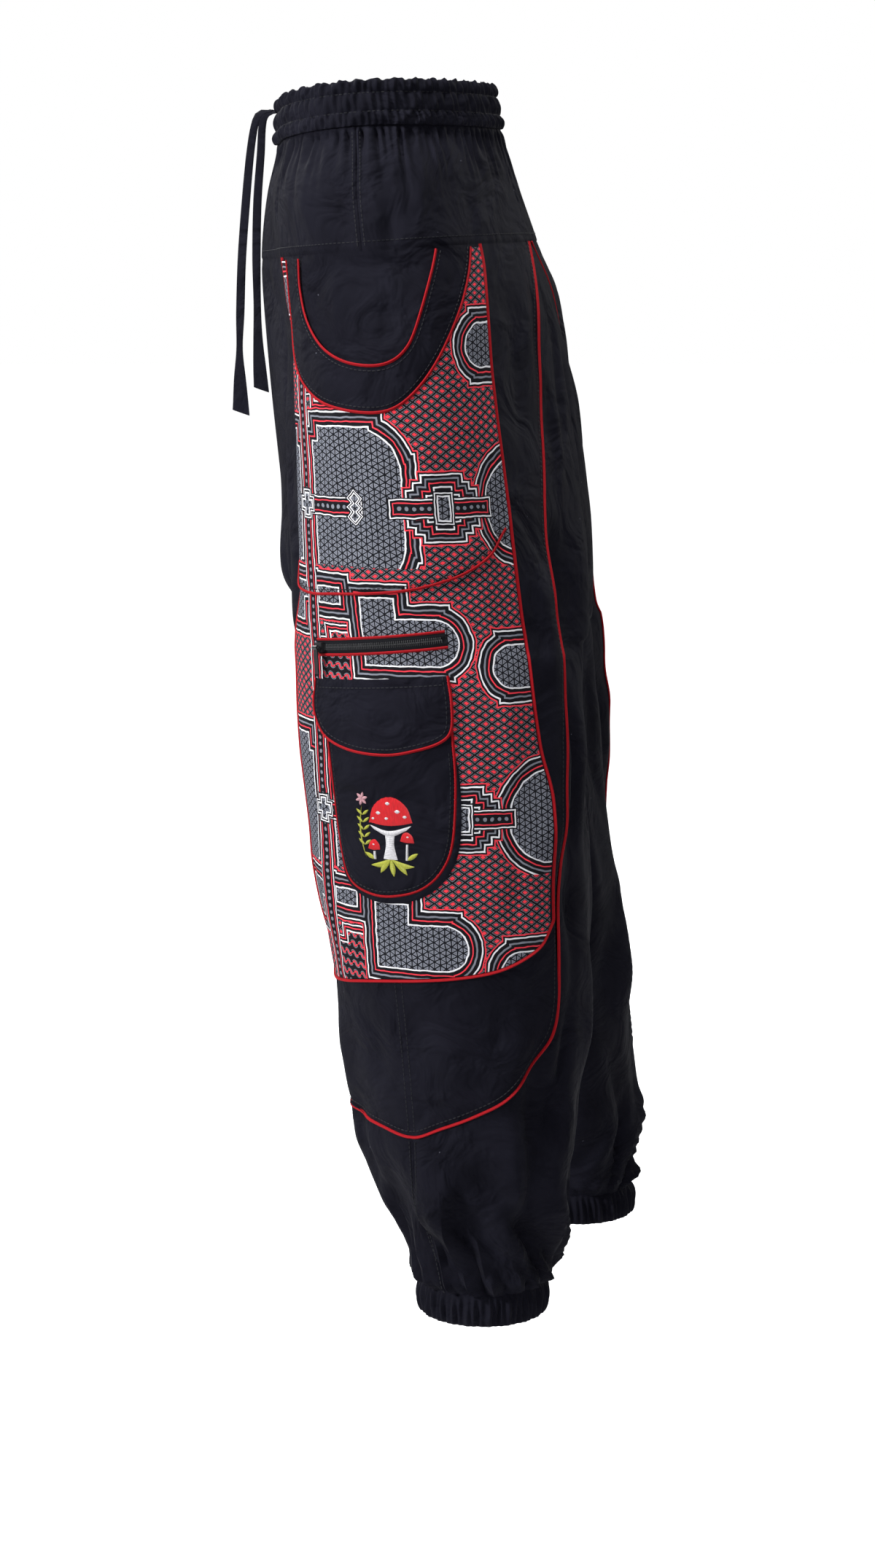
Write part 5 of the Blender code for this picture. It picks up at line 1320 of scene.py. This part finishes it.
def build_cuff(side):
    """Elastic cuff: rings round the ankle, from its top over its hem to its inside.

    The outside's height is a half-sine puff from top to hem, times a base and two uneven waves
    round the ring, a fine one and a broad one. The inside lies level behind it.
    """
    worn = WORN[side]
    rows, count, seed = 18, 420, 3 + SIDES.index(side)
    share = np.linspace(0, 1, count, endpoint=False)[None, :]
    levels = np.linspace(CUFF_TOP - 0.1, HEM, rows)[:, None]
    front, back = worn.middle(levels, "front"), worn.middle(levels, "back")
    arcs = front + (back - front) * share
    down = np.linspace(0, 1, rows)[:, None]
    puff = np.sin(np.pi * np.linspace(0.04, 0.96, rows))[:, None] ** 0.5
    gather = (1.2 * uneven_wave(share, 1, 1 / FINE_GATHERS, seed)
              + 1.3 * uneven_wave(share, 1, 1 / BROAD_GATHERS, seed + 10, 2 * down))
    arcs = np.concatenate([arcs[:1], arcs, arcs[::-1]])
    levels = np.concatenate([levels[:1], levels, levels[::-1]])
    inside = np.full((rows, count), -1.4)
    height = np.concatenate([inside[:1], 0.4 + (2.6 + gather) * puff, inside])
    moved = worn.normal(arcs, levels) * height[..., None]
    # the inside's top edge is tucked up into the leg
    levels[0] += 5
    loop = worn.at(arcs, levels) + moved
    closed_band(f"cuff_dressed_{side}", loop, stacked(arcs, levels), side, f"cuff_{side}", CUFF_CUT,
                rests_on=(f"leg_front_{side}", f"leg_back_{side}"))


def build_drawstring(side):
    """A flat tie hanging from the waist: a lens-shaped section carried down its route to a slanted end."""
    stations, ring = 60, 12
    route = curve(TIES[side], stations)
    points, widths = route[:, :3], route[:, 3:]
    along = unit(np.gradient(points, axis=0))
    facing = np.array([0.35, 1.0, 0.0])
    flat = unit(facing - along * (along @ facing)[:, None])
    turn = np.linspace(0, 2 * np.pi, ring, endpoint=False)
    half = widths / 2 * np.cos(turn)
    thick = 0.75 * np.sign(np.sin(turn)) * np.abs(np.sin(turn)) ** 0.6
    slant = np.zeros((stations, ring, 3))
    for row, share in ((-1, 0.3), (-2, 0.15)):
        slant[row] = (half[row] * share)[:, None] * along[row]
    rings = (points[:, None] + flat[:, None] * half[..., None]
             + np.cross(along, flat)[:, None] * thick[None, :, None] + slant)
    length = line_length(points)
    uv = stacked(half, np.linspace(0, length, stations)[:, None])
    tie = tube(f"drawstring_dressed_{side}", rings, "black_cotton_poplin", uv=uv, sharp=60,
               stands_for=f"drawstring_{side}")


# ------------------------------------------------------------------ stage

# Name, place and size in metres, share of the lamps' power
STUDIO_LIGHTS = [("key", (2.3, -2.6, 1.2), 0.5, 1.9), ("rim", (-1.6, -2.2, 1.2), 1.2, 0.3),
                 ("fill", (2.4, 2.2, 0.9), 1.4, 0.2), ("top", (0.9, -0.2, 3.2), 1.2, 1.6),
                 ("back", (-2.6, 2.0, 1.2), 1.4, 0.3)]
# The place that every lamp faces: the middle of the pants
AIM = Vector((0, 0, -0.45))
# Reaches of the floor's rings in metres, and its number of sides
FLOOR_RINGS, FLOOR_SIDES = (0.3, 1.0, 3.0, 8.0, 20.0), 96
# The camera's turn and tilt in degrees, its distance and its shift sideways and down in metres, and
# its focal length and height of frame in pixels
CAMERA_TURN, CAMERA_TILT = 14, 10.3
CAMERA_DISTANCE, CAMERA_ASIDE, CAMERA_DOWN = 2.6, 0.0371, 0.095
FOCAL_PIXELS, FRAME_PIXELS = 4200, 2151


def build_floor(drop):
    """A round floor: rings of points at growing reach, closed in the middle by one face."""
    turn = np.linspace(0, 2 * np.pi, FLOOR_SIDES, endpoint=False)[None]
    reach = np.array(FLOOR_RINGS)[:, None]
    rings = stacked(reach * np.cos(turn), reach * np.sin(turn), -drop)
    quads = grid_faces(*rings.shape[:2], ring_cols=True)[:, ::-1]
    faces = quads.tolist() + [list(range(FLOOR_SIDES))]
    mesh = bpy.data.meshes.new("studio_floor")
    mesh.from_pydata(rings.reshape(-1, 3).tolist(), [], faces)
    mesh.materials.append(MATERIALS["studio_paper"])
    floor = bpy.data.objects.new("studio_floor", mesh)
    bpy.context.scene.collection.objects.link(floor)


def light_room(scene, studio):
    """Soft lamps that face the pants, and a world that looks white and lights the room faintly."""
    world = scene.world = bpy.data.worlds.new("studio")
    world.use_nodes = True
    tree = world.node_tree
    seen = add(tree, "LightPath", {}).outputs["Is Camera Ray"]
    strength = add(tree, "MapRange", {0: seen, 3: studio.room_light, 4: 1.0})
    connect(tree, tree.nodes["Background"], {"Color": linear("#ffffff"), "Strength": strength})
    for name, place, size, power in STUDIO_LIGHTS:
        light = bpy.data.lights.new(name, "AREA")
        light.energy, light.size = power * studio.lamp_power, size
        lamp = bpy.data.objects.new(name, light)
        lamp.location = place
        lamp.rotation_euler = (AIM - Vector(place)).to_track_quat("-Z", "Y").to_euler()
        scene.collection.objects.link(lamp)


def make_camera(scene):
    """Camera at the side of the wearer's left hip, a little above it, looking down."""
    turn, tilt = math.radians(CAMERA_TURN), math.radians(CAMERA_TILT)
    right = Vector((-math.sin(turn), math.cos(turn), 0))
    back = Vector((math.cos(turn), math.sin(turn), 0))
    forward = -back * math.cos(tilt) - Vector((0, 0, math.sin(tilt)))
    data = bpy.data.cameras.new("camera")
    data.sensor_width = 36.0
    data.lens = data.sensor_width * FOCAL_PIXELS / FRAME_PIXELS
    camera = bpy.data.objects.new("camera", data)
    camera.matrix_world = Matrix((right, right.cross(forward), -forward)).transposed().to_4x4()
    camera.location = back * CAMERA_DISTANCE + right * CAMERA_ASIDE - Vector((0, 0, CAMERA_DOWN))
    scene.collection.objects.link(camera)
    scene.camera = camera


# ------------------------------------------------------------------ settings, operators, panel

def colour_property(name, description, value):
    """A colour that a user may change; its value is an sRGB hex colour."""
    return FloatVectorProperty(name=name, description=description, subtype="COLOR", size=3, min=0, max=1,
                               default=linear(value)[:3])


def length_property(name, description, value):
    """A length that a user may change, in metres."""
    return FloatProperty(name=name, description=description, default=value, min=0, unit="LENGTH")


class PantsColours(PropertyGroup):
    """Colours of the cloth and the trimmings"""
    black_cotton: colour_property("Black cotton", "Ground colour of the plain cloth", "#0e0e15")
    piping: colour_property("Piping", "Colour of the covered cord", "#900713")
    toadstool: colour_property("Toadstool", "Red of the embroidered cap", "#c8141e")
    leaves: colour_property("Leaves", "Green of the embroidered leaves", "#a3a636")


class PantsSizes(PropertyGroup):
    """Sizes of the trimmings"""
    piping_width: length_property("Piping width", "Width of the piping that shows beside its seam", 0.0023)
    stitch_length: length_property("Stitch length", "Length of one topstitch", 0.0027)
    stitch_gap: length_property("Stitch gap", "Gap between two topstitches", 0.0011)
    coil_pitch: length_property("Coil pitch", "Distance from tooth to tooth along the zip", 0.0016)


class PantsStudio(PropertyGroup):
    """The stage"""
    floor_drop: length_property("Floor drop", "How far the floor lies below the waist's middle", 1.076)
    lamp_power: FloatProperty(name="Lamp power", description="Power of the key lamp", default=95.0, min=0,
                              unit="POWER")
    room_light: FloatProperty(name="Room light", description="Strength of the light from all round",
                              default=0.1, min=0, max=2)


def on_each_side(*builders):
    """Runs the builders for the left side and then for the right one."""
    for side in SIDES:
        for build in builders:
            build(side)
    return {"FINISHED"}


class PANTS_OT_waist(Operator):
    """Builds the elastic waistband and the gathered yokes"""
    bl_idname = "pants.waist"
    bl_label = "Waist"

    def execute(self, context):
        build_waistband()
        build_yokes()
        return {"FINISHED"}


class PANTS_OT_legs(Operator):
    """Builds the fronts and backs of the legs"""
    bl_idname = "pants.legs"
    bl_label = "Legs"

    def execute(self, context):
        return on_each_side(build_legs)


class PANTS_OT_side_panels(Operator):
    """Builds the side panels and their printed overlays"""
    bl_idname = "pants.side_panels"
    bl_label = "Side panels"

    def execute(self, context):
        return on_each_side(build_side_panel, build_print_panel)


class PANTS_OT_pockets(Operator):
    """Builds the round pockets and the cargo pockets"""
    bl_idname = "pants.pockets"
    bl_label = "Pockets"

    def execute(self, context):
        return on_each_side(build_round_pocket, build_cargo_pocket)


class PANTS_OT_zips(Operator):
    """Builds the zips' tapes and coils and finishes their sliders and pulls"""
    bl_idname = "pants.zips"
    bl_label = "Zips"

    def execute(self, context):
        return on_each_side(build_zip)


class PANTS_OT_stitching(Operator):
    """Builds the topstitching"""
    bl_idname = "pants.stitching"
    bl_label = "Topstitching"

    def execute(self, context):
        build_waist_stitching()
        return on_each_side(build_stitching)


class PANTS_OT_embroidery(Operator):
    """Builds the embroidery on the cargo pockets"""
    bl_idname = "pants.embroidery"
    bl_label = "Embroidery"

    def execute(self, context):
        return on_each_side(build_embroidery)


class PANTS_OT_piping(Operator):
    """Builds the red piping"""
    bl_idname = "pants.piping"
    bl_label = "Piping"

    def execute(self, context):
        return on_each_side(build_pipings)


class PANTS_OT_cuffs(Operator):
    """Builds the elastic cuffs"""
    bl_idname = "pants.cuffs"
    bl_label = "Cuffs"

    def execute(self, context):
        return on_each_side(build_cuff)


class PANTS_OT_drawstring(Operator):
    """Builds the drawstring's two hanging ends"""
    bl_idname = "pants.drawstring"
    bl_label = "Drawstring"

    def execute(self, context):
        return on_each_side(build_drawstring)


class PANTS_OT_stage(Operator):
    """Sets the floor, the studio light and the camera"""
    bl_idname = "pants.stage"
    bl_label = "Stage"

    def execute(self, context):
        scene, studio = context.scene, context.scene.pants_studio
        scene.view_settings.view_transform = "Standard"
        build_floor(studio.floor_drop)
        light_room(scene, studio)
        make_camera(scene)
        return {"FINISHED"}


OPERATORS = (PANTS_OT_stage, PANTS_OT_drawstring, PANTS_OT_waist, PANTS_OT_legs, PANTS_OT_side_panels,
             PANTS_OT_pockets, PANTS_OT_zips, PANTS_OT_piping, PANTS_OT_cuffs, PANTS_OT_stitching,
             PANTS_OT_embroidery)
GROUPS = {"pants_colours": PantsColours, "pants_sizes": PantsSizes, "pants_studio": PantsStudio}


class PANTS_PT_panel(Panel):
    """Lists the pieces in the sidebar"""
    bl_label = "Harem Pants"
    bl_idname = "PANTS_PT_panel"
    bl_space_type = "VIEW_3D"
    bl_region_type = "UI"
    bl_category = "Pants"

    def draw(self, context):
        for name, group in GROUPS.items():
            box = self.layout.box()
            for key in group.__annotations__:
                box.prop(getattr(context.scene, name), key)
        for operator in OPERATORS:
            self.layout.operator(operator.bl_idname)


CLASSES = (*GROUPS.values(), *OPERATORS, PANTS_PT_panel)


def register():
    for item in CLASSES:
        bpy.utils.register_class(item)
    for name, group in GROUPS.items():
        setattr(bpy.types.Scene, name, PointerProperty(type=group))


def unregister():
    for name in GROUPS:
        delattr(bpy.types.Scene, name)
    for item in reversed(CLASSES):
        bpy.utils.unregister_class(item)


def main():
    register()
    make_materials(bpy.context.scene.pants_colours)
    for operator in OPERATORS:
        group, name = operator.bl_idname.split(".")
        getattr(getattr(bpy.ops, group), name)()


if __name__ == "__main__":
    main()
